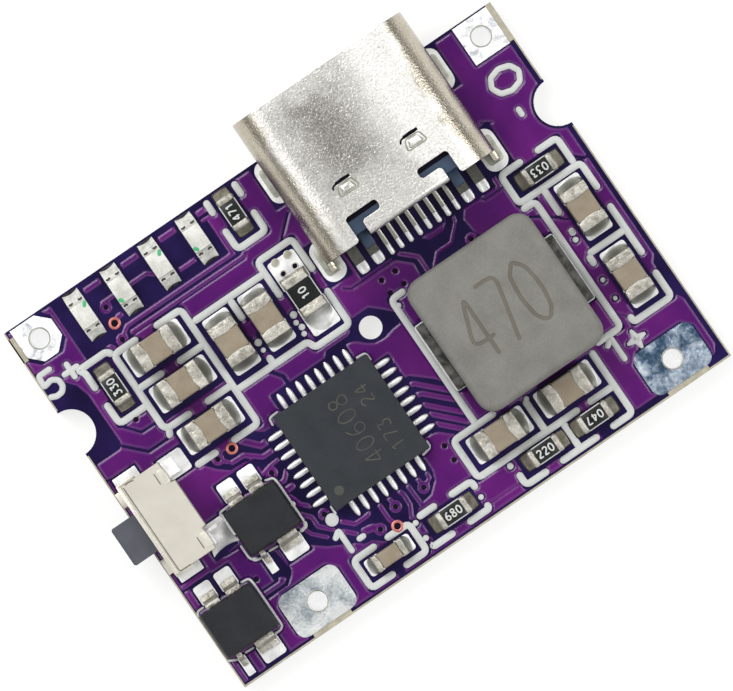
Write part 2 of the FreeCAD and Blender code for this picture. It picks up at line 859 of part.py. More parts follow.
button_front = f"({board_left} + button_inset)"
button_back = f"({button_front} + button_depth)"
button_base_front = f"({button_front} + faceplate_thickness)"
button_low = f"({button_middle_y} - button_length / 2)"
button_high = f"({button_middle_y} + button_length / 2)"
button_top = f"({seat} + button_height)"
button_middle = f"({seat} + button_height / 2)"
cavity_back = f"({button_back} - button_rear_wall)"


def make_button_base():
    body = new_body("button_base_body")
    outline = [
        (button_base_front, button_low),
        (button_back, button_low),
        (button_back, f"{button_middle_y} - button_bulge_length / 2"),
        (f"{button_back} + button_bulge", f"{button_middle_y} - button_bulge_length / 2"),
        (f"{button_back} + button_bulge", f"{button_middle_y} + button_bulge_length / 2"),
        (button_back, f"{button_middle_y} + button_bulge_length / 2"),
        (button_back, button_high),
        (button_base_front, button_high),
    ]
    add_up(body, [outline], seat, button_top)
    hollow = rectangle(
        f"{button_middle_y} - button_cavity_length / 2", f"{button_middle_y} + button_cavity_length / 2",
        f"{button_middle} - button_cavity_height / 2", f"{button_middle} + button_cavity_height / 2")
    cut_across(body, [hollow], button_base_front, cavity_back)
    return keep(body, "button_base")


def make_button_faceplate():
    """A thin cover over the button's front, with a window, end tabs and two front feet."""
    body = new_body("button_faceplate_body")
    plate = rectangle(button_low, button_high, seat, button_top)
    add_across(body, [plate], button_front, button_base_front)
    window = rectangle(
        f"{button_middle_y} - plunger_width / 2 - plunger_fit",
        f"{button_middle_y} + plunger_width / 2 + plunger_fit",
        f"{button_middle} - plunger_height / 2 - plunger_fit",
        f"{button_middle} + plunger_height / 2 + plunger_fit")
    cut_across(body, [window], button_front, button_base_front)
    tab_end = f"{button_base_front} + faceplate_tab_length"
    tabs = [
        rectangle(button_front, tab_end, button_high, f"{button_high} + faceplate_tab_thickness"),
        rectangle(button_front, tab_end, f"{button_low} - faceplate_tab_thickness", button_low),
    ]
    add_up(body, tabs, seat, f"{button_middle} + plunger_height / 2")
    feet = []
    for side in ("-", "+"):
        centre = f"{button_middle_y} {side} terminal_setting"
        feet.append(rectangle(
            f"{button_front} - faceplate_foot_reach", button_front,
            f"{centre} - faceplate_foot_length / 2", f"{centre} + faceplate_foot_length / 2"))
    add_up(body, feet, seat, f"{seat} + faceplate_thickness")
    return keep(body, "button_faceplate")


def make_button_plunger():
    body = new_body("button_plunger_body")
    stem = rectangle(
        f"{button_middle_y} - plunger_width / 2", f"{button_middle_y} + plunger_width / 2",
        f"{button_middle} - plunger_height / 2", f"{button_middle} + plunger_height / 2")
    flange_front = f"({button_base_front} + plunger_fit)"
    flange_back = f"({flange_front} + plunger_flange)"
    add_across(body, [stem], f"{button_front} - plunger_reach", flange_back)
    collar = rectangle(
        f"{button_middle_y} - plunger_width / 2 - plunger_flange_margin",
        f"{button_middle_y} + plunger_width / 2 + plunger_flange_margin",
        f"{button_middle} - plunger_height / 2 - plunger_flange_margin",
        f"{button_middle} + plunger_height / 2 + plunger_flange_margin")
    add_across(body, [collar], flange_front, flange_back)
    nose = f"({cavity_back} - dome_rise - dome_thickness - plunger_travel - dome_rest_gap)"
    driver = (button_middle_y, button_middle, "driver_radius")
    add_across(body, [driver], flange_back, nose)
    front = sizes["board_length"] / -2 + sizes["button_inset"] - sizes["plunger_reach"]
    soften(body, "plunger_chamfer", lambda edge: (
        all(abs(corner.Point.x - front) < near for corner in edge.Vertexes)), "Chamfer")
    return keep(body, "button_plunger")


def make_button_dome():
    """A sprung steel disc, bowed towards the plunger, with its rim on the cavity's end wall."""
    body = new_body("button_dome_body")
    sketch = new_sketch(body, "XY_Plane", "0")
    rim = "dome_rise + dome_thickness"
    corners = [
        ("0", "0"),
        ("dome_shoulder_drop", "dome_shoulder_radius"),
        (rim, "dome_radius"),
        (rim, "dome_radius - dome_thickness"),
        ("dome_thickness", "0"),
    ]
    draw_polygon(sketch, corners)
    axes = [item for item in body.Origin.OriginFeatures if item.Role == "X_Axis"]
    spun = body.newObject("PartDesign::Revolution", "button_dome_revolution")
    spun.Profile = sketch
    spun.ReferenceAxis = (axes[0], [""])
    spun.Angle = 360
    bind(body, "Placement.Base.x", f"{cavity_back} - dome_rise - dome_thickness")
    bind(body, "Placement.Base.y", button_middle_y)
    bind(body, "Placement.Base.z", button_middle)
    return keep(body, "button_dome")


def make_button_terminals():
    """Two strips that come out of the base's back and stand on their lands."""
    strips = []
    for number, side in enumerate(("-", "+"), start=1):
        body = new_body(f"button_terminal_{number}")
        centre = f"({button_middle_y} {side} terminal_setting)"
        profile = [
            (button_back, seat),
            (f"{button_back} + terminal_foot", seat),
            (f"{button_back} + terminal_foot", f"{seat} + terminal_thickness"),
            (f"{button_back} + terminal_thickness", f"{seat} + terminal_thickness"),
            (f"{button_back} + terminal_thickness", f"{seat} + terminal_height"),
            (button_back, f"{seat} + terminal_height"),
        ]
        low = f"{centre} - terminal_width / 2"
        add_back(body, [profile], low, f"{centre} + terminal_width / 2")
        strips.append(body)
    return keep(group("button_terminal_group", strips), "button_terminals")


# Power inductor


def make_inductor():
    """A block pressed around its coil, with two straps folded under it."""
    half_x = "inductor_length / 2"
    half_y = "inductor_width / 2"
    low = f"({seat} + strap_thickness)"
    high = f"({seat} + inductor_height)"
    core = new_body("inductor_core_body")
    outline = rectangle(
        f"{inductor_middle_x} - {half_x}", f"{inductor_middle_x} + {half_x}",
        f"{inductor_middle_y} - {half_y}", f"{inductor_middle_y} + {half_y}")
    add_up(core, [outline], low, high)
    soften(core, "inductor_corner", lambda edge: runs_along(edge, along_z))
    doc.recompute()
    top = core.Shape.BoundBox.ZMax
    soften(core, "inductor_chamfer", lambda edge: (
        all(abs(corner.Point.z - top) < near for corner in edge.Vertexes)), "Chamfer")
    keep(core, "inductor_core")
    strap = new_body("inductor_strap")
    add_back(strap, [[
        ("-strap_foot", "0"),
        ("strap_reach", "0"),
        ("strap_reach", "strap_rise"),
        ("0", "strap_rise"),
        ("0", "strap_rise - strap_thickness"),
        ("strap_reach - strap_thickness", "strap_rise - strap_thickness"),
        ("strap_reach - strap_thickness", "strap_thickness"),
        ("-strap_foot", "strap_thickness"),
    ]], "-strap_width / 2", "strap_width / 2")
    right = f"{inductor_middle_x} + {half_x}"
    left = f"{inductor_middle_x} - {half_x}"
    straps = [
        copy_at(strap, "inductor_strap_right", right, inductor_middle_y, seat, 0),
        copy_at(strap, "inductor_strap_left", left, inductor_middle_y, seat, 180),
    ]
    keep(group("inductor_terminal_group", straps), "inductor_terminals")


# Controller


def controller_places():
    """The outer end of each lead around the controller, with the way it points."""
    half = "controller_side / 2"
    places = []
    for step in range(controller_leads_a_side):
        shift = f"{step - (controller_leads_a_side - 1) / 2} * controller_pitch"
        places.append((f"{controller_middle_x} + {half}", f"{controller_middle_y} + {shift}", 0))
        places.append((f"{controller_middle_x} + {shift}", f"{controller_middle_y} + {half}", 90))
        places.append((f"{controller_middle_x} - {half}", f"{controller_middle_y} + {shift}", 180))
        places.append((f"{controller_middle_x} + {shift}", f"{controller_middle_y} - {half}", 270))
    return places


def make_controller():
    lead = block_master(
        "controller_lead", "-controller_lead_length", "0",
        "-controller_lead_width / 2", "controller_lead_width / 2", "0", "controller_lead_thickness")
    leads = []
    for number, (place_x, place_y, angle) in enumerate(controller_places(), start=1):
        leads.append(copy_at(lead, f"controller_lead_{number}", place_x, place_y, seat, angle))
    leads.append(box(
        "controller_heat_pad",
        f"{controller_middle_x} - controller_pad_side / 2",
        f"{controller_middle_x} + controller_pad_side / 2",
        f"{controller_middle_y} - controller_pad_side / 2",
        f"{controller_middle_y} + controller_pad_side / 2",
        seat, f"{seat} + controller_lead_thickness"))
    frame = keep(group("controller_lead_frame", leads), "controller_leads")
    block = box(
        "controller_block",
        f"{controller_middle_x} - controller_side / 2", f"{controller_middle_x} + controller_side / 2",
        f"{controller_middle_y} - controller_side / 2", f"{controller_middle_y} + controller_side / 2",
        seat, f"{seat} + controller_height")
    keep(cut("controller_moulding", block, frame), "controller_body")


# Protection chips: leads as (side of the body, shift along it, width)

chip_leads = (
    (90, "-drain_lead_setting", "drain_lead_width"),
    (90, "drain_lead_setting", "drain_lead_width"),
    (270, "-supply_lead_setting", "supply_lead_width"),
    (270, "ground_lead_setting", "ground_lead_width"),
)


def make_chip_lead(name, width):
    """A strip bent twice, pointing along X from the body's side, with its foot on the land."""
    body = new_body(name)
    lift = "(chip_stand_off + chip_height) / 2"
    foot = "(chip_lead_reach - chip_lead_foot)"
    add_back(body, [[
        ("0", f"{lift} - chip_lead_thickness / 2"),
        ("chip_lead_shoulder - chip_lead_thickness / 2", f"{lift} - chip_lead_thickness / 2"),
        (f"{foot} - chip_lead_thickness / 2", "0"),
        ("chip_lead_reach", "0"),
        ("chip_lead_reach", "chip_lead_thickness"),
        (f"{foot} + chip_lead_thickness / 2", "chip_lead_thickness"),
        ("chip_lead_shoulder + chip_lead_thickness / 2", f"{lift} + chip_lead_thickness / 2"),
        ("0", f"{lift} + chip_lead_thickness / 2"),
    ]], f"-{width} / 2", f"{width} / 2")
    return body


def make_protection_chips():
    masters = {}
    for kind in ("drain", "supply", "ground"):
        masters[f"{kind}_lead_width"] = make_chip_lead(f"{kind}_lead", f"{kind}_lead_width")
    for number in (1, 2):
        chip_x, chip_y = centres[f"chip_{number}"]
        body = new_body(f"protection_chip_{number}_block")
        outline = rectangle(
            f"{chip_x} - chip_length / 2", f"{chip_x} + chip_length / 2",
            f"{chip_y} - chip_width / 2", f"{chip_y} + chip_width / 2")
        parting = f"{seat} + (chip_stand_off + chip_height) / 2"
        add_up(body, [outline], parting, f"{seat} + chip_height", "-chip_draft")
        add_down(body, [outline], parting, f"{seat} + chip_stand_off", "-chip_draft")
        keep(body, f"protection_chip_{number}_body")
        leads = []
        for step, (angle, shift, width) in enumerate(chip_leads, start=1):
            side = "+" if angle == 90 else "-"
            leads.append(copy_at(
                masters[width], f"chip_{number}_lead_{step}",
                f"{chip_x} + ({shift})", f"{chip_y} {side} chip_width / 2", seat, angle))
        keep(group(f"chip_{number}_lead_group", leads), f"protection_chip_{number}_leads")


# Chip parts: capacitors, resistors and diodes, each lying along X or along Y

capacitors = {
    "capacitor_1": ("large_capacitor", "x"),
    "capacitor_2": ("large_capacitor", "x"),
    "capacitor_3": ("large_capacitor", "x"),
    "capacitor_4": ("large_capacitor", "y"),
    "capacitor_5": ("large_capacitor", "y"),
    "capacitor_6": ("large_capacitor", "y"),
    "capacitor_7": ("large_capacitor", "y"),
    "capacitor_8": ("large_capacitor", "x"),
    "capacitor_9": ("large_capacitor", "x"),
    "capacitor_10": ("small_capacitor", "x"),
}
resistors = {
    "resistor_1": ("small_resistor", "y"),
    "resistor_2": ("small_resistor", "y"),
    "resistor_3": ("small_resistor", "x"),
    "resistor_4": ("large_resistor", "y"),
    "resistor_5": ("small_resistor", "x"),
    "resistor_6": ("small_resistor", "x"),
    "resistor_7": ("small_resistor", "x"),
}
diodes = {f"led_{number}": ("lamp", "y") for number in (1, 2, 3, 4)}


def chip_box(label, name, lying, length, width, low, high):
    """A block centred on a chip's place, as long as given along the way that it lies."""
    centre_x, centre_y = centres[name]
    size_x, size_y = (length, width) if lying == "x" else (width, length)
    return box(
        label, f"{centre_x} - ({size_x}) / 2", f"{centre_x} + ({size_x}) / 2",
        f"{centre_y} - ({size_y}) / 2", f"{centre_y} + ({size_y}) / 2", low, high)


def chip_ends(name, kind, lying):
    """The two end faces of a chip, each with the way it points."""
    centre_x, centre_y = centres[name]
    half = f"{kind}_length / 2"
    if lying == "x":
        return [(f"{centre_x} + {half}", centre_y, 0), (f"{centre_x} - {half}", centre_y, 180)]
    return [(centre_x, f"{centre_y} + {half}", 90), (centre_x, f"{centre_y} - {half}", 270)]


def make_end_cap(kind):
    """A metal end: its outer and upper edges are eased, its inner face meets the ceramic."""
    body = new_body(f"{kind}_end_cap")
    outline = rectangle(f"-{kind}_end", "0", f"-{kind}_width / 2", f"{kind}_width / 2")
    add_up(body, [outline], "0", f"{kind}_height")
    inner = -sizes[f"{kind}_end"]

    def outer_edge(edge):
        corners = [corner.Point for corner in edge.Vertexes]
        on_inner = all(abs(corner.x - inner) < near for corner in corners)
        on_floor = all(abs(corner.z) < near for corner in corners)
        return not on_inner and not on_floor

    soften(body, "end_chamfer", outer_edge, "Chamfer")
    return body


def make_ceramic(name, kind, lying):
    """A capacitor's ceramic, a little slimmer than its metal ends."""
    block = chip_box(
        f"{name}_block", name, lying, f"{kind}_length - 2 * {kind}_end",
        f"{kind}_width - 2 * ceramic_inset", seat, f"{seat} + {kind}_height - ceramic_inset")
    doc.recompute()
    direction = along_x if lying == "x" else along_y
    top = block.Shape.BoundBox.ZMax
    eased = []
    for number, edge in enumerate(block.Shape.Edges, start=1):
        if runs_along(edge, direction) and edge.Vertexes[0].Point.z > top - near:
            eased.append((number, sizes["ceramic_chamfer"], sizes["ceramic_chamfer"]))
    item = doc.addObject("Part::Chamfer", f"{name}_eased")
    item.Base = block
    item.Edges = eased
    return keep(item, name)


def make_capacitors():
    caps = {kind: make_end_cap(kind) for kind in ("large_capacitor", "small_capacitor")}
    ends = []
    for name, (kind, lying) in capacitors.items():
        make_ceramic(name, kind, lying)
        for place_x, place_y, angle in chip_ends(name, kind, lying):
            label = f"{name}_end_{angle}"
            ends.append(copy_at(caps[kind], label, place_x, place_y, seat, angle))
    keep(group("capacitor_end_group", ends), "capacitor_ends")


def make_resistors():
    caps = {kind: make_end_cap(kind) for kind in ("small_resistor", "large_resistor")}
    ends = []
    coats = []
    for name, (kind, lying) in resistors.items():
        coat_low = f"{seat} + {kind}_height - coat_thickness"
        length = f"{kind}_length - 2 * {kind}_end"
        keep(chip_box(f"{name}_block", name, lying, length, f"{kind}_width", seat, coat_low), name)
        coat_width = f"{kind}_width - 2 * coat_inset"
        coats.append(chip_box(
            f"{name}_coat", name, lying, length, coat_width, coat_low, f"{seat} + {kind}_height"))
        for place_x, place_y, angle in chip_ends(name, kind, lying):
            label = f"{name}_end_{angle}"
            ends.append(copy_at(caps[kind], label, place_x, place_y, seat, angle))
    keep(group("resistor_coat_group", coats), "resistor_coats")
    keep(group("resistor_end_group", ends), "resistor_ends")


def make_diodes():
    """Each diode is a clear block on a thin carrier with metal ends."""
    end = block_master(
        "lamp_end_block", "-lamp_end", "0", "-lamp_width / 2", "lamp_width / 2", "0", "lamp_height")
    carriers = []
    ends = []
    for name, (kind, lying) in diodes.items():
        length = "lamp_length - 2 * lamp_end"
        low = f"{seat} + lamp_height"
        carriers.append(chip_box(f"{name}_carrier", name, lying, length, "lamp_width", seat, low))
        high = f"{low} + lens_height"
        keep(chip_box(f"{name}_lens", name, lying, length, "lamp_width", low, high), name)
        for place_x, place_y, angle in chip_ends(name, kind, lying):
            ends.append(copy_at(end, f"{name}_end_{angle}", place_x, place_y, seat, angle))
    keep(group("led_carrier_group", carriers), "led_carriers")
    keep(group("led_end_group", ends), "led_ends")


# Tinned lands and the solder on them


def make_end_land(kind):
    return block_master(
        f"{kind}_land", f"-{kind}_end - land_tuck", f"{kind}_reach",
        f"-{kind}_width / 2 - land_margin", f"{kind}_width / 2 + land_margin",
        "-land_thickness", "0")


def make_end_solder(kind):
    """Solder that climbs a chip's end from the land in a hollow curve."""
    body = new_body(f"{kind}_solder_wedge")
    add_back(body, [[
        ("0", "0"),
        (f"{kind}_reach * solder_toe", "0"),
        (f"{kind}_reach * solder_waist_reach", f"{kind}_solder * solder_waist_rise"),
        ("0", f"{kind}_solder"),
    ]], f"-{kind}_width / 2", f"{kind}_width / 2")
    return body


def make_lands_and_solder():
    lands = []
    joints = []
    for parts in (capacitors, resistors, diodes):
        for kind in sorted({kind for kind, lying in parts.values()}):
            land = make_end_land(kind)
            wedge = make_end_solder(kind)
            for name, (own_kind, lying) in parts.items():
                if own_kind != kind:
                    continue
                for place_x, place_y, angle in chip_ends(name, kind, lying):
                    label = f"{name}_land_{angle}"
                    lands.append(copy_at(land, label, place_x, place_y, seat, angle))
                    label = f"{name}_solder_{angle}"
                    joints.append(copy_at(wedge, label, place_x, place_y, seat, angle))
    lands.extend(make_controller_lands())
    lands.extend(make_chip_lands())
    lands.extend(make_button_lands())
    lands.extend(make_inductor_lands())
    lands.extend(make_usb_lands())
    keep(group("land_group", lands), "component_lands")
    keep(group("solder_group", joints), "solder_joints")


def make_controller_lands():
    land = block_master(
        "controller_land", "-controller_lead_length", "controller_land_reach",
        "-controller_lead_width / 2", "controller_lead_width / 2", "-land_thickness", "0")
    lands = []
    for number, (place_x, place_y, angle) in enumerate(controller_places(), start=1):
        lands.append(copy_at(land, f"controller_land_{number}", place_x, place_y, seat, angle))
    return lands


def make_chip_lands():
    lands = []
    for number in (1, 2):
        chip_x, chip_y = centres[f"chip_{number}"]
        for step, (angle, shift, width) in enumerate(chip_leads, start=1):
            half = f"({width} / 2 + land_margin)"
            inner = "(chip_width / 2 + chip_lead_reach - chip_lead_foot - land_tuck)"
            outer = "(chip_width / 2 + chip_lead_reach + chip_land_reach)"
            if angle == 90:
                low_y, high_y = f"{chip_y} + {inner}", f"{chip_y} + {outer}"
            else:
                low_y, high_y = f"{chip_y} - {outer}", f"{chip_y} - {inner}"
            centre = f"{chip_x} + ({shift})"
            lands.append(box(
                f"chip_{number}_land_{step}", f"{centre} - {half}", f"{centre} + {half}",
                low_y, high_y, board_top, seat))
    return lands


def make_button_lands():
    lands = []
    for number, side in enumerate(("-", "+"), start=1):
        centre = f"({button_middle_y} {side} terminal_setting)"
        lands.append(box(
            f"button_land_{number}", f"{button_back} - land_tuck", f"{button_back} + button_land_reach",
            f"{centre} - button_land_width / 2", f"{centre} + button_land_width / 2",
            board_top, seat))
    ends = (
        (f"{button_low} - bracket_land_reach", f"{button_low} + land_tuck"),
        (f"{button_high} - land_tuck", f"{button_high} + bracket_land_reach"),
    )
    for number, (low_y, high_y) in enumerate(ends, start=1):
        lands.append(box(
            f"bracket_land_{number}", button_front, f"{button_front} + bracket_land_length",
            low_y, high_y, board_top, seat))
    return lands


def make_inductor_lands():
    lands = []
    reach = "(inductor_length / 2 + strap_reach)"
    inner = "(inductor_length / 2 - strap_foot)"
    ends = (
        (f"{inductor_middle_x} - {reach} - land_margin", f"{inductor_middle_x} - {inner}"),
        (f"{inductor_middle_x} + {inner}", f"{inductor_middle_x} + {reach} + land_margin"),
    )
    for number, (low_x, high_x) in enumerate(ends, start=1):
        lands.append(box(
            f"inductor_land_{number}", low_x, high_x,
            f"{inductor_middle_y} - strap_width / 2 - land_margin",
            f"{inductor_middle_y} + strap_width / 2 + land_margin",
            board_top, seat))
    return lands


def make_usb_lands():
    """A land under each contact tail, and a plated ring around each leg's slot."""
    lands = []
    far = f"{usb_rear} - contact_tail_reach - tail_land_reach"
    tuck = f"{usb_rear} + usb_fit"
    places = []
    for step in range(signal_contacts):
        places.append((f"{step - (signal_contacts - 1) / 2} * contact_pitch", "contact_width"))
    for setting in ("supply_contact_setting", "ground_contact_setting"):
        places.append((f"-{setting}", "power_contact_width"))
        places.append((setting, "power_contact_width"))
    for number, (centre, width) in enumerate(places, start=1):
        lands.append(box(
            f"usb_tail_land_{number}",
            f"{usb_middle_x} + ({centre}) - {width} / 2", f"{usb_middle_x} + ({centre}) + {width} / 2",
            far, tuck, board_top, seat))
    for name, leg in legs.items():
        for side in ("-", "+"):
            lands.append(make_leg_land(f"usb_{name}_leg_land_{len(lands)}", side, leg))
    return lands


def make_leg_land(name, side, leg):
    body = new_body(name)
    outline = oval(
        f"{usb_middle_x} {side} {leg_centre}", leg["y"], "leg_land_width / 2",
        f"({leg['width']} / 2 + leg_slot_ease + leg_land_border)", "leg_land_clip")
    add_up(body, [outline], board_top, seat)
    cut_down(body, [leg_slot(side, leg)], board_top, seat)
    return body


# Legend: white frames printed around the chips


def frame_lines(name, kind, lying):
    """Where the middle of each stroke of a chip's frame runs, with the chip's own centre."""
    centre_x, centre_y = centres[name]
    along = f"({kind}_length / 2 + {kind}_reach + legend_margin)"
    beside = f"({kind}_width / 2 + land_margin + legend_margin)"
    reach_x, reach_y = (along, beside) if lying == "x" else (beside, along)
    return {
        "x": centre_x, "y": centre_y,
        "left": f"({centre_x} - {reach_x})", "right": f"({centre_x} + {reach_x})",
        "low": f"({centre_y} - {reach_y})", "high": f"({centre_y} + {reach_y})",
    }


def halfway(first, second):
    return f"(({first} + {second}) / 2)"


def make_legend():
    """Frames that neighbours share, each line broken beside a chip's middle where tracks run out."""
    strokes = []

    def stroke(low_x, high_x, low_y, high_y):
        label = f"legend_stroke_{len(strokes) + 1}"
        high = f"{board_top} + legend_thickness"
        strokes.append(box(label, low_x, high_x, low_y, high_y, board_top, high))

    def spans(start, end, gap):
        low = f"{start} - legend_stroke / 2"
        high = f"{end} + legend_stroke / 2"
        if gap is None:
            return [(low, high)]
        return [(low, f"{gap} - legend_gap / 2"), (f"{gap} + legend_gap / 2", high)]

    def row(middle, start, end, gap=None):
        for low_x, high_x in spans(start, end, gap):
            stroke(low_x, high_x, f"{middle} - legend_stroke / 2", f"{middle} + legend_stroke / 2")

    def column(middle, start, end, gap=None):
        for low_y, high_y in spans(start, end, gap):
            stroke(f"{middle} - legend_stroke / 2", f"{middle} + legend_stroke / 2", low_y, high_y)

    frames = {}
    for parts in (capacitors, resistors):
        for name, (kind, lying) in parts.items():
            frames[name] = frame_lines(name, kind, lying)

    first, second, third, fourth, fifth = (frames[f"capacitor_{number}"] for number in (1, 2, 3, 4, 5))
    clear_of_button = f"({button_back} + button_land_reach + legend_stroke)"
    row(first["high"], first["left"], first["right"], first["x"])
    row(halfway(first["y"], second["y"]), first["left"], first["right"], first["x"])
    row(halfway(second["y"], third["y"]), first["left"], first["right"], first["x"])
    row(third["low"], clear_of_button, first["right"], first["x"])
    column(first["left"], halfway(second["y"], third["y"]), first["high"])
    column(first["right"], third["low"], first["high"])

    second_resistor = frames["resistor_2"]
    row(second_resistor["high"], second_resistor["left"], first["left"])
    row(second_resistor["low"], second_resistor["left"], first["left"])
    column(
        second_resistor["left"], second_resistor["low"], second_resistor["high"], second_resistor["y"])

    large = frames["resistor_4"]
    row(fourth["high"], first["right"], large["left"])
    row(fourth["low"], first["right"], large["left"])
    column(halfway(fourth["x"], fifth["x"]), fourth["low"], fourth["high"], fourth["y"])
    row(large["high"], large["left"], large["right"])
    row(large["low"], large["left"], large["right"])
    column(large["left"], large["low"], large["high"], large["y"])
    column(large["right"], large["low"], large["high"], large["y"])

    edge = frames["resistor_1"]
    open_end = f"({board_back} - legend_margin)"
    row(edge["low"], edge["left"], edge["right"])
    column(edge["left"], edge["low"], open_end, edge["y"])
    column(edge["right"], edge["low"], open_end, edge["y"])

    upper, lower, corner = frames["capacitor_6"], frames["capacitor_7"], frames["resistor_3"]
    shared = halfway(upper["y"], lower["y"])
    row(corner["high"], corner["left"], corner["right"], corner["x"])
    row(corner["low"], corner["left"], upper["right"])
    column(corner["left"], corner["low"], corner["high"])
    column(corner["right"], corner["low"], corner["high"])
    row(shared, upper["left"], upper["right"])
    row(lower["low"], upper["left"], upper["right"])
    for side in ("left", "right"):
        column(upper[side], shared, corner["low"], upper["y"])
        column(upper[side], lower["low"], shared, lower["y"])

    eighth, ninth = frames["capacitor_8"], frames["capacitor_9"]
    sixth_resistor, seventh_resistor = frames["resistor_6"], frames["resistor_7"]
    reach = "(inductor_length / 2 + strap_reach + land_margin + legend_stroke / 2)"
    inductor_left = f"({inductor_middle_x} - {reach})"
    inductor_right = f"({inductor_middle_x} + {reach})"
    inductor_high = f"({inductor_middle_y} + inductor_width / 2 - legend_stroke / 2)"
    under_core = "(inductor_length / 2 - legend_stroke)"
    row(inductor_high, inductor_left, f"({inductor_middle_x} - {under_core})")
    row(inductor_high, f"({inductor_middle_x} + {under_core})", inductor_right)
    column(inductor_left, eighth["high"], inductor_high)
    column(inductor_right, eighth["high"], inductor_high)
    row(eighth["high"], eighth["left"], inductor_right)
    row(eighth["low"], eighth["left"], ninth["right"], seventh_resistor["x"])
    column(eighth["left"], eighth["low"], eighth["high"])
    column(halfway(eighth["x"], ninth["x"]), eighth["low"], eighth["high"])
    column(ninth["right"], seventh_resistor["low"], eighth["high"])

    divider = halfway(sixth_resistor["x"], seventh_resistor["x"])
    row(sixth_resistor["low"], sixth_resistor["left"], divider, sixth_resistor["x"])
    row(sixth_resistor["low"], divider, ninth["right"], seventh_resistor["x"])
    column(divider, sixth_resistor["low"], eighth["low"])
    column(sixth_resistor["left"], sixth_resistor["low"], sixth_resistor["y"])

    for name in ("capacitor_10", "resistor_5"):
        frame = frames[name]
        row(frame["high"], frame["left"], frame["right"], frame["x"])
        row(frame["low"], frame["left"], frame["right"], frame["x"])
        column(frame["left"], frame["low"], frame["high"])
        column(frame["right"], frame["low"], frame["high"], frame["y"] if name == "resistor_5" else None)

    ink = doc.addObject("Part::MultiFuse", "legend_ink")
    ink.Shapes = strokes
    ink.Refine = True
    return keep(ink, "silkscreen")


make_board()
for pad_name, pad in wire_pads.items():
    make_wire_pad(pad_name, pad)
make_usb_shell()
plate = make_mid_plate()
contacts = make_usb_contacts()
make_usb_insulator(contacts + [plate])
make_button_base()
make_button_faceplate()
make_button_plunger()
make_button_dome()
make_button_terminals()
make_inductor()
make_controller()
make_protection_chips()
make_capacitors()
make_resistors()
make_diodes()
make_lands_and_solder()
make_legend()
doc.recompute()

for item in doc.Objects:
    if "Invalid" in item.State or "Error" in item.State:
        raise RuntimeError(f"{item.Name} did not rebuild: {item.State}")
for item in nodes:
    if item.Shape.isNull() or not item.Shape.isValid() or not item.Shape.Solids:
        raise RuntimeError(f"{item.Label} has no sound solid")

os.makedirs("parts", exist_ok=True)
for item in nodes:
    item.Shape.exportStep(f"parts/{item.Label}.step")
print(len(nodes), "sub-parts written")
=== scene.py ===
from math import cos, dist, hypot, radians, sin

import bpy
import numpy as np
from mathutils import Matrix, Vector


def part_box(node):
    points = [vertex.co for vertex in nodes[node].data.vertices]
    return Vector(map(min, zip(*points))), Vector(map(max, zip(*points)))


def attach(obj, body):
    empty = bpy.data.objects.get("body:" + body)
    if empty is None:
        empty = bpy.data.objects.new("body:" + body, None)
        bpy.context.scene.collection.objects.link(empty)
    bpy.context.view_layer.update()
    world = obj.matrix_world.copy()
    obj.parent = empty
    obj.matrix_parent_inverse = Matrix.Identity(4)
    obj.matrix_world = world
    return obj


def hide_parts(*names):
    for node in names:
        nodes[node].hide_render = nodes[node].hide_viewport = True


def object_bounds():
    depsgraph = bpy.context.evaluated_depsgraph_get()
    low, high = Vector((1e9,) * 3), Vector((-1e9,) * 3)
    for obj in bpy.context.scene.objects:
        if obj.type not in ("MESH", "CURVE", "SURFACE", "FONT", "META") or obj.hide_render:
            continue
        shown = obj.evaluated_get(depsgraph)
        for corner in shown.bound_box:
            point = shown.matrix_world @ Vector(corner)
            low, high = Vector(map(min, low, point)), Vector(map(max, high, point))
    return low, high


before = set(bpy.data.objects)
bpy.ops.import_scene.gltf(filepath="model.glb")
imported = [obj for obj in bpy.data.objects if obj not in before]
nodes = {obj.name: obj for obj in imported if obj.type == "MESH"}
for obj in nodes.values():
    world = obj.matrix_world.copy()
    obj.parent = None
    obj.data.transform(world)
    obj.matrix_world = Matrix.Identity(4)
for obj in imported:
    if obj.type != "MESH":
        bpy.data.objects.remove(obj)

cadLow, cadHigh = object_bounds()
cadBox = [list(cadLow), list(cadHigh)]
mm = 0.001


def topOf(name):
    # height of a node's top in millimetres
    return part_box(name)[1][2] / mm


boardTop = topOf("circuit_board")
landTop = topOf("component_lands")
print("frame loaded, board top at", round(boardTop, 3), "mm")


# camera, straight above and turned as the picture was taken
shot = {"aimX": -0.052, "aimY": -0.003, "height": 539.3, "turn": -34.33, "lens": 600, "sensor": 36}
bpy.ops.object.select_all(action="DESELECT")
bpy.ops.object.camera_add(
    location=(shot["aimX"] * mm, shot["aimY"] * mm, (boardTop + shot["height"]) * mm),
    rotation=(0, 0, radians(shot["turn"])),
)
camera = bpy.context.object
camera.data.lens = shot["lens"]
camera.data.sensor_width = shot["sensor"]
camera.data.clip_start = 0.01
camera.data.clip_end = 20
bpy.context.scene.camera = camera
bpy.context.scene.view_settings.view_transform = "Standard"


# helpers for working by hand
def editMode():
    bpy.ops.object.mode_set(mode="EDIT")


def objectMode():
    bpy.ops.object.mode_set(mode="OBJECT")


def clearPick():
    if bpy.context.object and bpy.context.object.mode != "OBJECT":
        objectMode()
    bpy.ops.object.select_all(action="DESELECT")


def pickOnly(piece):
    clearPick()
    piece.select_set(True)
    bpy.context.view_layer.objects.active = piece


def pickMesh():
    # goes into edit mode with the whole mesh selected
    editMode()
    bpy.ops.mesh.select_all(action="SELECT")


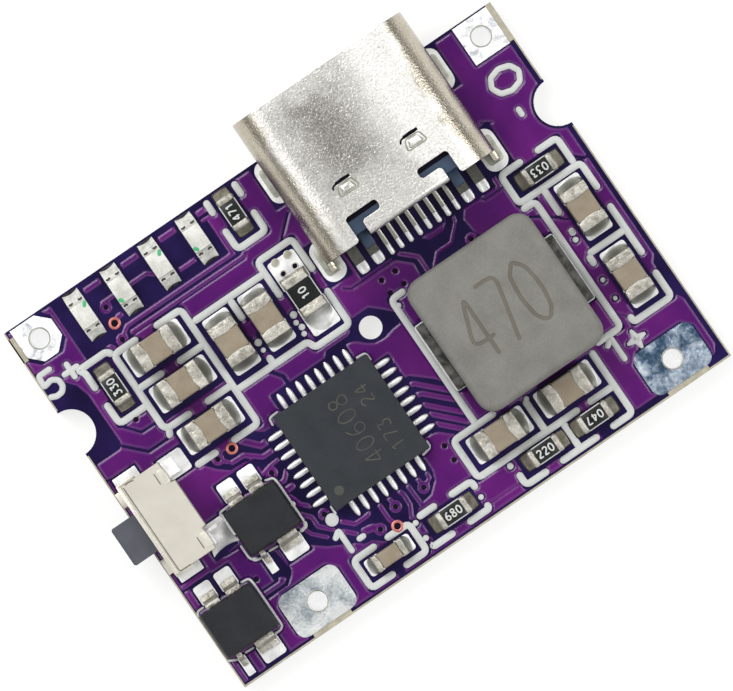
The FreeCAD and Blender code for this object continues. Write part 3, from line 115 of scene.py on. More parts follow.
def pickEdges(piece, test, among=None):
    # selects the edges whose two ends pass a test, and leaves the piece in edit mode
    pickOnly(piece)
    editMode()
    bpy.ops.mesh.select_mode(type="EDGE")
    bpy.ops.mesh.select_all(action="DESELECT")
    objectMode()
    points = piece.data.vertices
    for edge in piece.data.edges:
        start, end = [points[corner].co for corner in edge.vertices]
        edge.select = (among is None or edge.index in among) and test(start, end)
    editMode()


def settle(piece):
    # the place goes into the mesh, the object stays at the origin
    pickOnly(piece)
    bpy.ops.object.transform_apply(location=True, rotation=True, scale=True)


def applyAll(piece):
    pickOnly(piece)
    for modifier in list(piece.modifiers):
        bpy.ops.object.modifier_apply(modifier=modifier.name)


def smoothOver(piece, angle, weighted=False):
    pickOnly(piece)
    bpy.ops.object.shade_smooth_by_angle(angle=radians(angle))
    if weighted:
        # flat faces keep their own normal, only the rounded edges shade over
        normals = piece.modifiers.new("flatFaces", "WEIGHTED_NORMAL")
        normals.keep_sharp = True
        applyAll(piece)


def roundEdges(piece, width, turns=2, angle=35):
    bevel = piece.modifiers.new("roundedEdges", "BEVEL")
    bevel.width = width * mm
    bevel.segments = turns
    bevel.limit_method = "ANGLE"
    bevel.angle_limit = radians(angle)
    bevel.use_clamp_overlap = False
    bevel.loop_slide = False
    applyAll(piece)


def block(name, low, high):
    # a box between two corners in millimetres
    clearPick()
    middle = [(a + b) / 2 * mm for a, b in zip(low, high)]
    bpy.ops.mesh.primitive_cube_add(size=1, location=middle)
    piece = bpy.context.object
    piece.name = name
    piece.scale = [(b - a) * mm for a, b in zip(low, high)]
    settle(piece)
    return piece


def roundedBlock(name, low, high, uprights, rim, turns=5):
    piece = block(name, low, high)
    top = high[2] * mm - 1e-7
    for width, test in (
        (uprights, lambda a, b: abs(a.z - b.z) > 1e-6),
        (rim, lambda a, b: a.z > top and b.z > top),
    ):
        pickEdges(piece, test)
        bpy.ops.mesh.bevel(offset=width * mm, segments=turns, affect="EDGES")
        objectMode()
    return piece


def readSpots(piece):
    spots = np.empty(len(piece.data.vertices) * 3)
    piece.data.vertices.foreach_get("co", spots)
    return spots.reshape(-1, 3)


def writeSpots(piece, spots):
    piece.data.vertices.foreach_set("co", spots.ravel())
    piece.data.update()


def joinAll(name, pieces):
    clearPick()
    for piece in pieces:
        piece.select_set(True)
    bpy.context.view_layer.objects.active = pieces[0]
    if len(pieces) > 1:
        bpy.ops.object.join()
    pieces[0].name = name
    return pieces[0]


def paint(piece, *looks):
    piece.data.materials.clear()
    for look in looks:
        piece.data.materials.append(look)


def place(piece, slot, *replaced, body="module"):
    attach(piece, body)
    if replaced:
        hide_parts(*replaced)


def dress(piece, look, slot, *replaced, body="module"):
    paint(piece, finish[look])
    place(piece, slot, *replaced, body=body)


# helpers for shader nodes
def setInputs(tree, node, values):
    # a value that is another node's output gets linked
    for socket, value in values.items():
        if hasattr(value, "links"):
            tree.links.new(value, node.inputs[socket])
        else:
            node.inputs[socket].default_value = value


def addNode(tree, kind, values=None, **settings):
    node = tree.nodes.new("ShaderNode" + kind)
    for setting, value in settings.items():
        setattr(node, setting, value)
    setInputs(tree, node, values or {})
    return node


def maths(tree, operation, first, second=0):
    return addNode(tree, "Math", {0: first, 1: second}, operation=operation).outputs[0]


def mixTone(tree, factor, first, second):
    return addNode(tree, "Mix", {"Factor": factor, "A": first, "B": second}, data_type="RGBA").outputs["Result"]


def grey(level):
    return (level, level, level, 1)


def greyRamp(tree, value, stops):
    node = addNode(tree, "ValToRGB", {"Fac": value})
    ramp = node.color_ramp
    for element, (position, level) in zip(ramp.elements, (stops[0], stops[-1])):
        element.position = position
        element.color = grey(level)
    for position, level in stops[1:-1]:
        ramp.elements.new(position).color = grey(level)
    return node.outputs["Color"]


def seenDirectly(tree):
    # 1 for what the eye sees, itself, in a reflection or through clear resin
    path = addNode(tree, "LightPath").outputs
    seen = maths(tree, "MAXIMUM", path["Is Camera Ray"], path["Is Glossy Ray"])
    return maths(tree, "MAXIMUM", seen, path["Is Transmission Ray"])


def newMaterial(name):
    material = bpy.data.materials.new(name)
    material.use_nodes = True
    return material, material.node_tree, material.node_tree.nodes["Principled BSDF"]


# studio: a pale floor, a soft dome and four lamps
studio = {
    "floorSize": 3.0, "floorDrop": 0.02, "floorTones": (0.34, 0.37), "floorGlow": 0.7, "fibreScale": 400,
    "domeLevel": 0.62,
    # how bright the dome is from straight below to straight above, as reflections see it
    "domeStops": [(0.0, 1.0), (0.13, 1.0), (0.24, 0.3), (0.5, 0.28),
                  (0.66, 0.95), (0.92, 1.0), (0.965, 0.3), (1.0, 0.14)],
    # place, size and power of each lamp; the glints are small and bright, for raised edges
    "lamps": {
        "keyPanel": ((-0.10, 0.22, 0.30), 0.24, 0.62),
        "fillPanel": ((0.24, -0.12, 0.28), 0.24, 0.4),
        "glintAbove": ((0.03, 0.20, 0.28), 0.05, 0.05),
        "glintBeside": ((-0.20, 0.03, 0.26), 0.05, 0.035),
    },
}


def buildStudio():
    clearPick()
    floorZ = cadBox[0][2] - studio["floorDrop"] * mm
    bpy.ops.mesh.primitive_plane_add(size=studio["floorSize"], location=(0, 0, floorZ))
    floor = bpy.context.object
    floor.name = "studioFloor"
    settle(floor)
    paper, tree, shader = newMaterial("floorPaper")
    spot = addNode(tree, "TexCoord").outputs["Object"]
    fibre = addNode(tree, "TexNoise", {"Vector": spot, "Scale": studio["fibreScale"]})
    # seen directly the paper glows up to white, but it lights nothing
    setInputs(tree, shader, {
        "Base Color": greyRamp(tree, fibre.outputs["Fac"], list(zip((0, 1), studio["floorTones"]))),
        "Roughness": 0.9,
        "Specular IOR Level": 0.1,
        "Emission Color": grey(1),
        "Emission Strength": maths(tree, "MULTIPLY", seenDirectly(tree), studio["floorGlow"]),
    })
    paint(floor, paper)

    world = bpy.data.worlds.new("softDome")
    bpy.context.scene.world = world
    world.use_nodes = True
    sky = world.node_tree
    direction = addNode(sky, "TexCoord").outputs["Generated"]
    height = addNode(sky, "SeparateXYZ", {0: direction}).outputs["Z"]
    dome = greyRamp(sky, height, studio["domeStops"])
    # diffuse light takes an even level, the eye and reflections see the dome
    light = mixTone(sky, seenDirectly(sky), grey(studio["domeLevel"]), dome)
    setInputs(sky, sky.nodes["Background"], {"Color": light, "Strength": 1.0})

    for name, (spot, size, power) in studio["lamps"].items():
        bpy.ops.object.light_add(type="AREA", location=spot)
        lamp = bpy.context.object
        lamp.name = name
        lamp.data.shape = "DISK"
        lamp.data.size = size
        lamp.data.energy = power
        lamp.rotation_euler = Vector(spot).to_track_quat("Z", "Y").to_euler()
    print("studio set")


buildStudio()


# shared surface effects, each a node group that materials place with their own values
def newGroup(name, inputs, outputs):
    group = bpy.data.node_groups.new(name, "ShaderNodeTree")
    for label, value in inputs.items():
        kind = "NodeSocketColor" if isinstance(value, tuple) else "NodeSocketFloat"
        group.interface.new_socket(name=label, in_out="INPUT", socket_type=kind).default_value = value
    for label, kind in outputs.items():
        group.interface.new_socket(name=label, in_out="OUTPUT", socket_type=kind)
    return group, group.nodes.new("NodeGroupInput").outputs, group.nodes.new("NodeGroupOutput")


def buildMottle():
    # two tones that drift into each other, with a finer speckle on top
    group, given, out = newGroup("mottledTone", {
        "Tone": grey(0.5), "Other Tone": grey(0.6), "Patch Scale": 1000.0, "Speck Scale": 9000.0,
        "Speck": 0.2, "Contrast": 2.0, "Bias": 0.5, "Swirl": 0.0,
    }, {"Colour": "NodeSocketColor", "Mask": "NodeSocketFloat"})
    spot = addNode(group, "TexCoord").outputs["Object"]
    patch = addNode(group, "TexNoise", {
        "Vector": spot, "Scale": given["Patch Scale"], "Detail": 4, "Distortion": given["Swirl"],
    })
    speck = addNode(group, "TexNoise", {"Vector": spot, "Scale": given["Speck Scale"], "Detail": 2})
    spread = maths(group, "MULTIPLY", maths(group, "SUBTRACT", patch.outputs["Fac"], 0.5), given["Contrast"])
    specks = maths(group, "MULTIPLY", maths(group, "SUBTRACT", speck.outputs["Fac"], 0.5), given["Speck"])
    shifted = maths(group, "ADD", maths(group, "ADD", spread, specks), given["Bias"])
    mask = addNode(group, "Clamp", {"Value": shifted}).outputs[0]
    colour = mixTone(group, mask, given["Tone"], given["Other Tone"])
    setInputs(group, out, {"Colour": colour, "Mask": mask})
    return group


def buildRelief():
    # a broad waviness and a fine grain as one bump
    group, given, out = newGroup("grainRelief", {
        "Wave Scale": 900.0, "Wave": 0.3, "Grain Scale": 12000.0, "Grain": 0.3,
    }, {"Normal": "NodeSocketVector"})
    spot = addNode(group, "TexCoord").outputs["Object"]
    below = {}
    for label, detail, depth in (("Wave", 2, 0.0001), ("Grain", 3, 0.00002)):
        noise = addNode(group, "TexNoise", {"Vector": spot, "Scale": given[label + " Scale"], "Detail": detail})
        height = {"Height": noise.outputs["Fac"], "Strength": given[label], "Distance": depth}
        below = {"Normal": addNode(group, "Bump", {**height, **below}).outputs["Normal"]}
    setInputs(group, out, below)
    return group


mottledTone = buildMottle()
grainRelief = buildRelief()
usual = {
    "metal": 0.0, "sheen": 0.5, "coat": 0.0, "patch": 900, "speckScale": 12000, "speck": 0.4, "contrast": 2.0,
    "bias": 0.5, "swirl": 0.0, "waveScale": 900, "wave": 0.1, "grainScale": 15000, "grain": 0.2,
}


def makeFinish(name, tone, otherTone, rough, changes):
    recipe = {**usual, **changes}
    material, tree, shader = newMaterial(name)
    mottle = addNode(tree, "Group", {
        "Tone": tone + (1,), "Other Tone": otherTone + (1,), "Patch Scale": recipe["patch"],
        "Speck Scale": recipe["speckScale"], "Speck": recipe["speck"], "Contrast": recipe["contrast"],
        "Bias": recipe["bias"], "Swirl": recipe["swirl"],
    }, node_tree=mottledTone)
    relief = addNode(tree, "Group", {
        "Wave Scale": recipe["waveScale"], "Wave": recipe["wave"],
        "Grain Scale": recipe["grainScale"], "Grain": recipe["grain"],
    }, node_tree=grainRelief)
    worn = addNode(tree, "MapRange", {"Value": mottle.outputs["Mask"], "To Min": rough[0], "To Max": rough[1]})
    setInputs(tree, shader, {
        "Base Color": mottle.outputs["Colour"], "Roughness": worn.outputs[0], "Normal": relief.outputs["Normal"],
        "Metallic": recipe["metal"], "IOR": 1.5, "Specular IOR Level": recipe["sheen"],
        "Coat Weight": recipe["coat"], "Coat Roughness": 0.1,
    })
    if "depth" in recipe:
        setInputs(tree, shader, {
            "Subsurface Weight": recipe["depth"], "Subsurface Radius": (0.3, 0.3, 0.25), "Subsurface Scale": 0.0005,
        })
    return material


finishes = {
    # tone, other tone, roughness from and to, and what differs from the usual
    "bareMask": ((0.008, 0.004, 0.034), (0.018, 0.008, 0.08), (0.14, 0.2),
                 {"patch": 450, "contrast": 3, "wave": 0.05, "sheen": 0.35}),
    "copperMask": ((0.066, 0.005, 0.118), (0.13, 0.008, 0.17), (0.12, 0.2),
                   {"patch": 300, "contrast": 3, "wave": 0.08, "sheen": 0.45}),
    "whiteInk": ((0.55, 0.57, 0.55), (0.65, 0.67, 0.65), (0.45, 0.6), {"speck": 0.8, "grain": 0.3}),
    "brightTin": ((0.82, 0.82, 0.82), (0.96, 0.96, 0.95), (0.4, 0.55),
                  {"metal": 0.9, "patch": 1500, "contrast": 3, "wave": 0.3, "waveScale": 1500}),
    # near-black tin for the lands drawn dark
    "darkTin": ((0.012, 0.01, 0.016), (0.05, 0.045, 0.045), (0.25, 0.4),
                {"metal": 0.6, "patch": 3000, "contrast": 3}),
    "plusTin": ((0.5, 0.52, 0.56), (0.95, 0.95, 0.95), (0.35, 0.55),
                {"metal": 0.9, "patch": 1600, "speck": 1.2, "contrast": 4, "bias": 0.95,
                 "swirl": 1.5, "wave": 0.4, "grain": 0.7}),
    "minusTin": ((0.33, 0.4, 0.46), (0.68, 0.7, 0.69), (0.28, 0.5),
                 {"metal": 1.0, "patch": 600, "speckScale": 9000, "speck": 1.0, "contrast": 3.5, "bias": 0.76,
                  "swirl": 1.0, "wave": 0.6, "waveScale": 1100, "grain": 0.7, "grainScale": 9000}),
    "rippledTin": ((0.13, 0.24, 0.4), (0.66, 0.73, 0.8), (0.22, 0.45),
                   {"metal": 1.0, "patch": 800, "speckScale": 6000, "speck": 1.0, "contrast": 3.2, "bias": 0.45,
                    "swirl": 1.2, "wave": 0.9, "waveScale": 1500, "grain": 0.8, "grainScale": 7000}),
    "capTin": ((0.32, 0.3, 0.255), (0.6, 0.58, 0.52), (0.36, 0.5),
               {"metal": 0.85, "patch": 2600, "speckScale": 14000, "speck": 1.4, "contrast": 3,
                "wave": 0.8, "waveScale": 2600, "grain": 0.9}),
    "lightTin": ((0.5, 0.5, 0.46), (0.76, 0.76, 0.72), (0.45, 0.6),
                 {"metal": 0.3, "patch": 3000, "speck": 1.4, "contrast": 3, "grain": 0.8}),
    "fillet": ((0.66, 0.67, 0.64), (0.9, 0.9, 0.88), (0.34, 0.5),
               {"metal": 0.9, "patch": 2500, "contrast": 3, "wave": 0.3, "waveScale": 2500}),
    "tanSolder": ((0.15, 0.135, 0.1), (0.28, 0.255, 0.2), (0.4, 0.5),
                  {"metal": 0.4, "patch": 3500, "contrast": 3, "speck": 1.0, "grain": 0.5}),
    "oliveTin": ((0.25, 0.26, 0.21), (0.42, 0.43, 0.36), (0.3, 0.45), {"metal": 0.6, "patch": 2500, "contrast": 3}),
    "shellSteel": ((0.4, 0.385, 0.34), (0.82, 0.8, 0.75), (0.16, 0.24),
                   {"metal": 1.0, "patch": 650, "speck": 2.4, "contrast": 1.6, "wave": 0.5,
                    "waveScale": 300, "grain": 1.0, "grainScale": 11000}),
    "plateSteel": ((0.45, 0.44, 0.42), (0.62, 0.61, 0.58), (0.3, 0.42), {"metal": 1.0}),
    "plateCream": ((0.62, 0.59, 0.5), (0.8, 0.77, 0.69), (0.35, 0.5), {"metal": 0.5, "patch": 1500, "speck": 1.0}),
    "darkTerminal": ((0.05, 0.05, 0.046), (0.2, 0.195, 0.18), (0.35, 0.5),
                     {"metal": 0.9, "patch": 2200, "speckScale": 9000, "speck": 0.7,
                      "contrast": 2.5, "bias": 0.38, "grain": 0.8}),
    "contactGold": ((0.7, 0.62, 0.42), (0.9, 0.84, 0.68), (0.22, 0.32), {"metal": 1.0, "patch": 2500}),
    "darkInsulator": ((0.022, 0.042, 0.085), (0.035, 0.065, 0.12), (0.4, 0.5), {}),
    "creamPlastic": ((0.56, 0.53, 0.455), (0.64, 0.605, 0.53), (0.5, 0.6), {"speck": 0.6, "depth": 0.1}),
    "plungerPlastic": ((0.055, 0.06, 0.075), (0.085, 0.09, 0.11), (0.45, 0.6), {"grain": 0.5}),
    "pressedPowder": ((0.165, 0.161, 0.146), (0.228, 0.224, 0.204), (0.55, 0.7),
                      {"sheen": 0.4, "speck": 1.4, "speckScale": 14000, "grain": 0.8, "grainScale": 14000}),
    "engraving": ((0.12, 0.108, 0.085), (0.17, 0.155, 0.125), (0.7, 0.8), {"grain": 0.8}),
    "pinMark": ((0.046, 0.05, 0.045), (0.06, 0.064, 0.056), (0.6, 0.7), {}),
    "pulledSolder": ((0.72, 0.72, 0.71), (0.95, 0.95, 0.94), (0.3, 0.45),
                     {"patch": 1800, "contrast": 3, "wave": 0.4, "waveScale": 1800}),
    "faintMark": ((0.042, 0.043, 0.038), (0.08, 0.075, 0.055), (0.6, 0.7), {"patch": 1500, "contrast": 5}),
    "chipCompound": ((0.022, 0.026, 0.031), (0.034, 0.039, 0.045), (0.5, 0.62),
                     {"sheen": 0.22, "speck": 1.4, "grain": 0.8}),
    "smallChip": ((0.015, 0.016, 0.019), (0.026, 0.027, 0.03), (0.55, 0.65),
                  {"sheen": 0.2, "speck": 1.2, "grain": 0.8}),
    "tanCeramic": ((0.25, 0.2, 0.138), (0.32, 0.268, 0.195), (0.38, 0.5),
                   {"patch": 1600, "speck": 0.8, "grain": 0.3}),
    "whiteAlumina": ((0.62, 0.62, 0.6), (0.74, 0.74, 0.72), (0.5, 0.6), {}),
    "blackGlaze": ((0.006, 0.007, 0.007), (0.014, 0.016, 0.016), (0.25, 0.35), {"sheen": 0.35}),
    "milkyResin": ((0.58, 0.58, 0.53), (0.8, 0.8, 0.75), (0.3, 0.4),
                   {"patch": 1500, "speck": 1.4, "contrast": 3, "coat": 0.3, "depth": 0.25}),
    "whiteCarrier": ((0.6, 0.59, 0.53), (0.74, 0.73, 0.67), (0.5, 0.6), {"depth": 0.1}),
    "bareLaminate": ((0.36, 0.33, 0.24), (0.48, 0.45, 0.35), (0.55, 0.7),
                     {"patch": 3000, "contrast": 3, "grain": 0.6}),
    "greenMark": ((0.05, 0.38, 0.14), (0.08, 0.48, 0.22), (0.4, 0.5), {}),
    "bareCopper": ((0.48, 0.12, 0.11), (0.72, 0.27, 0.23), (0.3, 0.4), {"metal": 0.7, "patch": 4000}),
    # near-black for via holes, the pips' slits and the shadow under the socket's cut-outs: painted shade
    "paintedShade": ((0.003, 0.002, 0.006), (0.006, 0.004, 0.012), (0.6, 0.7), {"sheen": 0.1}),
}
finish = {name: makeFinish(name, *recipe) for name, recipe in finishes.items()}


def openFinish(name):
    tree = finish[name].node_tree
    return tree, tree.nodes["Principled BSDF"]


def blendTone(tree, shader, factor, other):
    # the finish's own colour gives way to another one where the factor is high
    own = shader.inputs["Base Color"].links[0].from_socket
    setInputs(tree, shader, {"Base Color": mixTone(tree, factor, own, other)})


def rampOn(tree, value, stops, low, high):
    # a value read along one direction, in millimetres, through a ramp
    spread = addNode(tree, "MapRange", {"Value": value, "From Min": low * mm, "From Max": high * mm})
    return greyRamp(tree, spread.outputs[0], [((at - low) / (high - low), level) for at, level in stops])


def upwardness(tree, kind):
    face = addNode(tree, "NewGeometry").outputs[kind]
    return addNode(tree, "SeparateXYZ", {0: face}).outputs["Z"]


sawnSides = {"Tone": (0.36, 0.33, 0.24, 1), "Other Tone": (0.52, 0.49, 0.38, 1), "Patch Scale": 3000, "Speck": 1.0}
# painted reflection: the darker tone that steep solder is drawn with
paintedSolderReflection = {"from": 0.98, "to": 0.35, "tone": (0.26, 0.26, 0.215, 1)}
tinEnds = {"fade": [(4.4, 1.0), (4.7, 0.0)], "span": (4.0, 6.0), "tone": (0.30, 0.295, 0.26, 1)}


def maskedBoard():
    # the mask covers the two faces, the sawn sides show the laminate
    tree, shader = openFinish("bareMask")
    side = maths(tree, "LESS_THAN", maths(tree, "ABSOLUTE", upwardness(tree, "True Normal")), 0.5)
    blendTone(tree, shader, side, addNode(tree, "Group", sawnSides, node_tree=mottledTone).outputs["Colour"])


def steepPaintedReflection():
    # painted reflection: where the solder stands steep its colour darkens, standing in for the dark board it mirrors
    tree, shader = openFinish("fillet")
    steep = addNode(tree, "MapRange", {
        "Value": upwardness(tree, "Normal"), "From Min": paintedSolderReflection["from"], "From Max": paintedSolderReflection["to"],
    })
    blendTone(tree, shader, steep.outputs[0], paintedSolderReflection["tone"])


# the socket's steel: how matt it is across and along, and where its flat top ends; the matt zones are also painted
# pale, a painted highlight
shellMattAndSheen = {
    "drift": (0.0013, 0.0022, 0), "driftScale": 900, "sparkScale": 13000, "rough": (0.19, 0.5),
    "spanX": (0.5, 10.5), "spanY": (4.0, 13.0),
    "across": [(2.1, 0.52), (2.6, 0.45), (3.35, 0.32), (4.25, 0.14), (5.45, 0.22),
               (6.25, 0.42), (6.85, 0.68), (7.45, 0.92), (8.55, 0.85)],
    "along": [(5.0, 0.5), (6.1, 0.55), (6.9, 0.5), (7.7, 0.25), (8.5, 0.0), (10.9, 0.0), (11.5, 0.35), (12.1, 0.55)],
    "top": [(1.85, 0.0), (2.15, 1.0), (8.9, 1.0), (9.2, 0.0)],
    # the pale tone and its flecks are painted highlight over the matt zones; the warm tone is painted shade on the
    # rolled sides
    "pale": (0.97, 0.96, 0.93, 1), "sideShadeTone": (0.50, 0.44, 0.33, 1), "sideShadeDepth": 0.65,
    "glintFleck": {"From Min": 0.3, "From Max": 0.62, "To Min": 0.3, "To Max": 1.1},
}


def shellMattAndPaintedLight():
    tree, shader = openFinish("shellSteel")
    spot = addNode(tree, "TexCoord").outputs["Object"]
    drift = addNode(tree, "TexNoise", {"Vector": spot, "Scale": shellMattAndSheen["driftScale"], "Detail": 5})
    shift = {0: drift.outputs["Color"], 1: shellMattAndSheen["drift"], 2: spot}
    shifted = addNode(tree, "VectorMath", shift, operation="MULTIPLY_ADD")
    split = addNode(tree, "SeparateXYZ", {0: shifted.outputs[0]}).outputs
    across = rampOn(tree, split["X"], shellMattAndSheen["across"], *shellMattAndSheen["spanX"])
    along = rampOn(tree, split["Y"], shellMattAndSheen["along"], *shellMattAndSheen["spanY"])
    top = rampOn(tree, split["X"], shellMattAndSheen["top"], *shellMattAndSheen["spanX"])
    matt = maths(tree, "MULTIPLY", maths(tree, "MAXIMUM", across, along), top)
    low, high = shellMattAndSheen["rough"]
    rough = addNode(tree, "MapRange", {"Value": matt, "To Min": low, "To Max": high})
    setInputs(tree, shader, {"Roughness": rough.outputs[0]})
    # pale flecks over the matt zones: painted highlight, on top of their real roughness
    spark = addNode(tree, "TexNoise", {"Vector": spot, "Scale": shellMattAndSheen["sparkScale"], "Detail": 2})
    glintFleck = addNode(tree, "MapRange", {"Value": spark.outputs["Fac"], **shellMattAndSheen["glintFleck"]})
    blendTone(tree, shader, maths(tree, "MULTIPLY", matt, glintFleck.outputs[0]), shellMattAndSheen["pale"])
    # painted shade: its rolled sides are drawn warmer and darker
    sides = addNode(tree, "MapRange", {"Value": top, "To Min": shellMattAndSheen["sideShadeDepth"], "To Max": 0.0})
    blendTone(tree, shader, sides.outputs[0], shellMattAndSheen["sideShadeTone"])


def tinnedTails():
    # gold in the mouth, dull tin outside at the back
    tree, shader = openFinish("contactGold")
    spot = addNode(tree, "TexCoord").outputs["Object"]
    split = addNode(tree, "SeparateXYZ", {0: spot}).outputs
    blendTone(tree, shader, rampOn(tree, split["Y"], tinEnds["fade"], *tinEnds["span"]), tinEnds["tone"])


maskedBoard()
steepPaintedReflection()
shellMattAndPaintedLight()
tinnedTails()
print("finishes mixed:", len(finish))


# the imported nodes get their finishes, and most get softer edges as a copy
dressing = {
    "usb_shell": ("shellSteel", "shell_steel", 0.035),
    "usb_insulator": ("darkInsulator", "insulator", 0),
    "usb_mid_plate": ("plateSteel", "plate_steel", 0),
    "usb_power_contacts": ("contactGold", "contact_gold", 0),
    "usb_signal_contacts": ("contactGold", "contact_gold", 0.03),
    "button_base": ("creamPlastic", "button_cream", 0.05),
    "button_faceplate": ("plateCream", "plate_steel", 0.02),
    "button_plunger": ("plungerPlastic", "button_dark", 0.02),
    "button_dome": ("plateSteel", "plate_steel", 0),
    "button_terminals": ("brightTin", "tin", 0.02),
    "inductor_terminals": ("darkTerminal", "tin", 0.03),
    "controller_body": ("chipCompound", "chip_black", 0.05),
    "controller_leads": ("brightTin", "tin", 0.02),
    "protection_chip_1_body": ("smallChip", "chip_black", 0.05),
    # the protection chips' leads take the darker cap tin, standing in for the shade they show near their bodies:
    # painted shade
    "protection_chip_1_leads": ("capTin", "tin", 0.03),
    "protection_chip_2_body": ("smallChip", "chip_black", 0.05),
    "protection_chip_2_leads": ("capTin", "tin", 0.03),
    "resistor_coats": ("blackGlaze", "resistor_coat", 0.02),
    "resistor_ends": ("capTin", "tin", 0.03),
    "led_carriers": ("whiteCarrier", "carrier", 0.02),
    "led_ends": ("milkyResin", "tin", 0.02),
    "circuit_board": ("bareMask", "board", 0),
    "pad_input_plus": ("plusTin", "tin", 0),
    "pad_input_minus": ("plusTin", "tin", 0),
    "pad_battery_minus": ("minusTin", "tin", 0),
    "pad_battery_plus": ("rippledTin", "tin", 0),
}
for index in range(1, 11):
    dressing["capacitor_%d" % index] = ("tanCeramic", "ceramic_tan", 0.03)
for index in range(1, 8):
    dressing["resistor_%d" % index] = ("whiteAlumina", "alumina", 0.015)
for index in range(1, 5):
    dressing["led_%d" % index] = ("milkyResin", "lens", 0.03)

# places on the socket's shell and the rounding of its cut-outs
shell = {
    "middle": 4.98, "flatTop": 4.09, "seam": 5.5, "legTop": 2.7, "mouth": 10,
    "cutOutY": (3.9, 5.2), "cutOutX": (1.0, 2.75), "cornerRound": 0.17,
}
sameFace = radians(1.5)    # faces that turn less than this are merged
hair = 0.001    # millimetres


def onFlatTop(a, b):
    return min(a.z, b.z) > shell["flatTop"] * mm


def cutOutCorner(a, b):
    y, x = a.y / mm, abs(a.x / mm - shell["middle"])
    inside = shell["cutOutY"][0] < y < shell["cutOutY"][1] and shell["cutOutX"][0] < x < shell["cutOutX"][1]
    return inside and onFlatTop(a, b) and abs(a.z - b.z) > 0.1 * mm and (a.xy - b.xy).length < hair * mm


def behindSeam(a, b):
    near, far = min(a.y, b.y) / mm, max(a.y, b.y) / mm
    return onFlatTop(a, b) and far < shell["seam"] + hair and near < shell["seam"] - hair


def clearOfLegs(a, b):
    return min(a.z, b.z) > shell["legTop"] * mm or min(a.y, b.y) > shell["mouth"] * mm


def bevelSharp(piece, width, test):
    # rounds the sharp edges whose two ends pass a test
    pickEdges(piece, lambda a, b: False)
    bpy.ops.mesh.edges_select_sharp(sharpness=radians(35))
    objectMode()
    sharp = {edge.index for edge in piece.data.edges if edge.select}
    pickEdges(piece, test, sharp)
    bpy.ops.mesh.bevel(offset=width * mm, segments=2, affect="EDGES", loop_slide=False, clamp_overlap=False)
    objectMode()


def softenShell(piece, rounding):
    # a seam across the top, so that no loose edge meets the cut-outs' corners, which get round
    pickEdges(piece, onFlatTop)
    bpy.ops.mesh.bisect(plane_co=(0, shell["seam"] * mm, 0), plane_no=(0, 1, 0))
    objectMode()
    pickEdges(piece, behindSeam)
    bpy.ops.mesh.dissolve_limited(angle_limit=sameFace)
    objectMode()
    pickEdges(piece, cutOutCorner)
    bpy.ops.mesh.bevel(offset=shell["cornerRound"] * mm, segments=5, affect="EDGES", loop_slide=False)
    objectMode()
    bevelSharp(piece, rounding, clearOfLegs)


def dressNode(name, look, slot, rounding):
    node = nodes[name]
    if not rounding:
        paint(node, finish[look])
        return
    piece = node.copy()
    piece.data = node.data.copy()
    piece.name = name + ".dressed"
    bpy.context.collection.objects.link(piece)
    pickOnly(piece)
    bpy.ops.mesh.customdata_custom_splitnormals_clear()
    pickMesh()
    bpy.ops.mesh.remove_doubles(threshold=0.0000004)
    bpy.ops.mesh.dissolve_limited(angle_limit=sameFace)
    objectMode()
    if name == "usb_shell":
        softenShell(piece, rounding)
    else:
        roundEdges(piece, rounding)
    smoothOver(piece, 38, weighted=True)
    dress(piece, look, slot, name, body="button" if name == "button_plunger" else "module")


for name, (look, slot, rounding) in dressing.items():
    dressNode(name, look, slot, rounding)
print("nodes dressed:", len(dressing))


# strokes of ink: rounded ends and corners, a thin dome in section
footDepth = 0.002    # strokes and dots reach this far into what they lie on
flatInk = {"shoulder": 1.35, "waviness": 0.0012, "waveX": 1.7, "waveY": 2.3}


def towards(start, end, reach):
    share = min(reach / dist(start, end), 0.5)
    return tuple(a + (b - a) * share for a, b in zip(start, end))


def softLine(points, corner):
    # each corner gives way to a short curve
    soft = [points[0]]
    for before, here, after in zip(points, points[1:], points[2:]):
        reach = min(corner, 0.45 * dist(here, before), 0.45 * dist(here, after))
        start, end = towards(here, before, reach), towards(here, after, reach)
        for t in (0, 0.25, 0.5, 0.75, 1):
            soft.append([(1 - t) ** 2 * start[k] + 2 * t * (1 - t) * here[k] + t * t * end[k] for k in (0, 1)])
    soft.append(points[-1])
    return soft


def roundedRun(points, width, corner):
    # points with a radius that closes each end in a half circle
    line = softLine(points, corner)

    def tip(outer, inner):
        bits = []
        for angle in (5, 30, 55, 90):
            share = width / 2 * (1 - cos(radians(angle))) / dist(outer, inner)
            x, y = [a + (b - a) * share for a, b in zip(outer, inner)]
            bits.append((x, y, sin(radians(angle))))
        return bits

    return tip(line[0], line[1]) + [(x, y, 1) for x, y in line[1:-1]] + tip(line[-1], line[-2])[::-1]


def cutFoot(base):
    # in edit mode: what lies below the foot goes
    bpy.ops.mesh.select_all(action="SELECT")
    bpy.ops.mesh.bisect(plane_co=(0, 0, (base - footDepth) * mm), plane_no=(0, 0, 1), clear_inner=True)


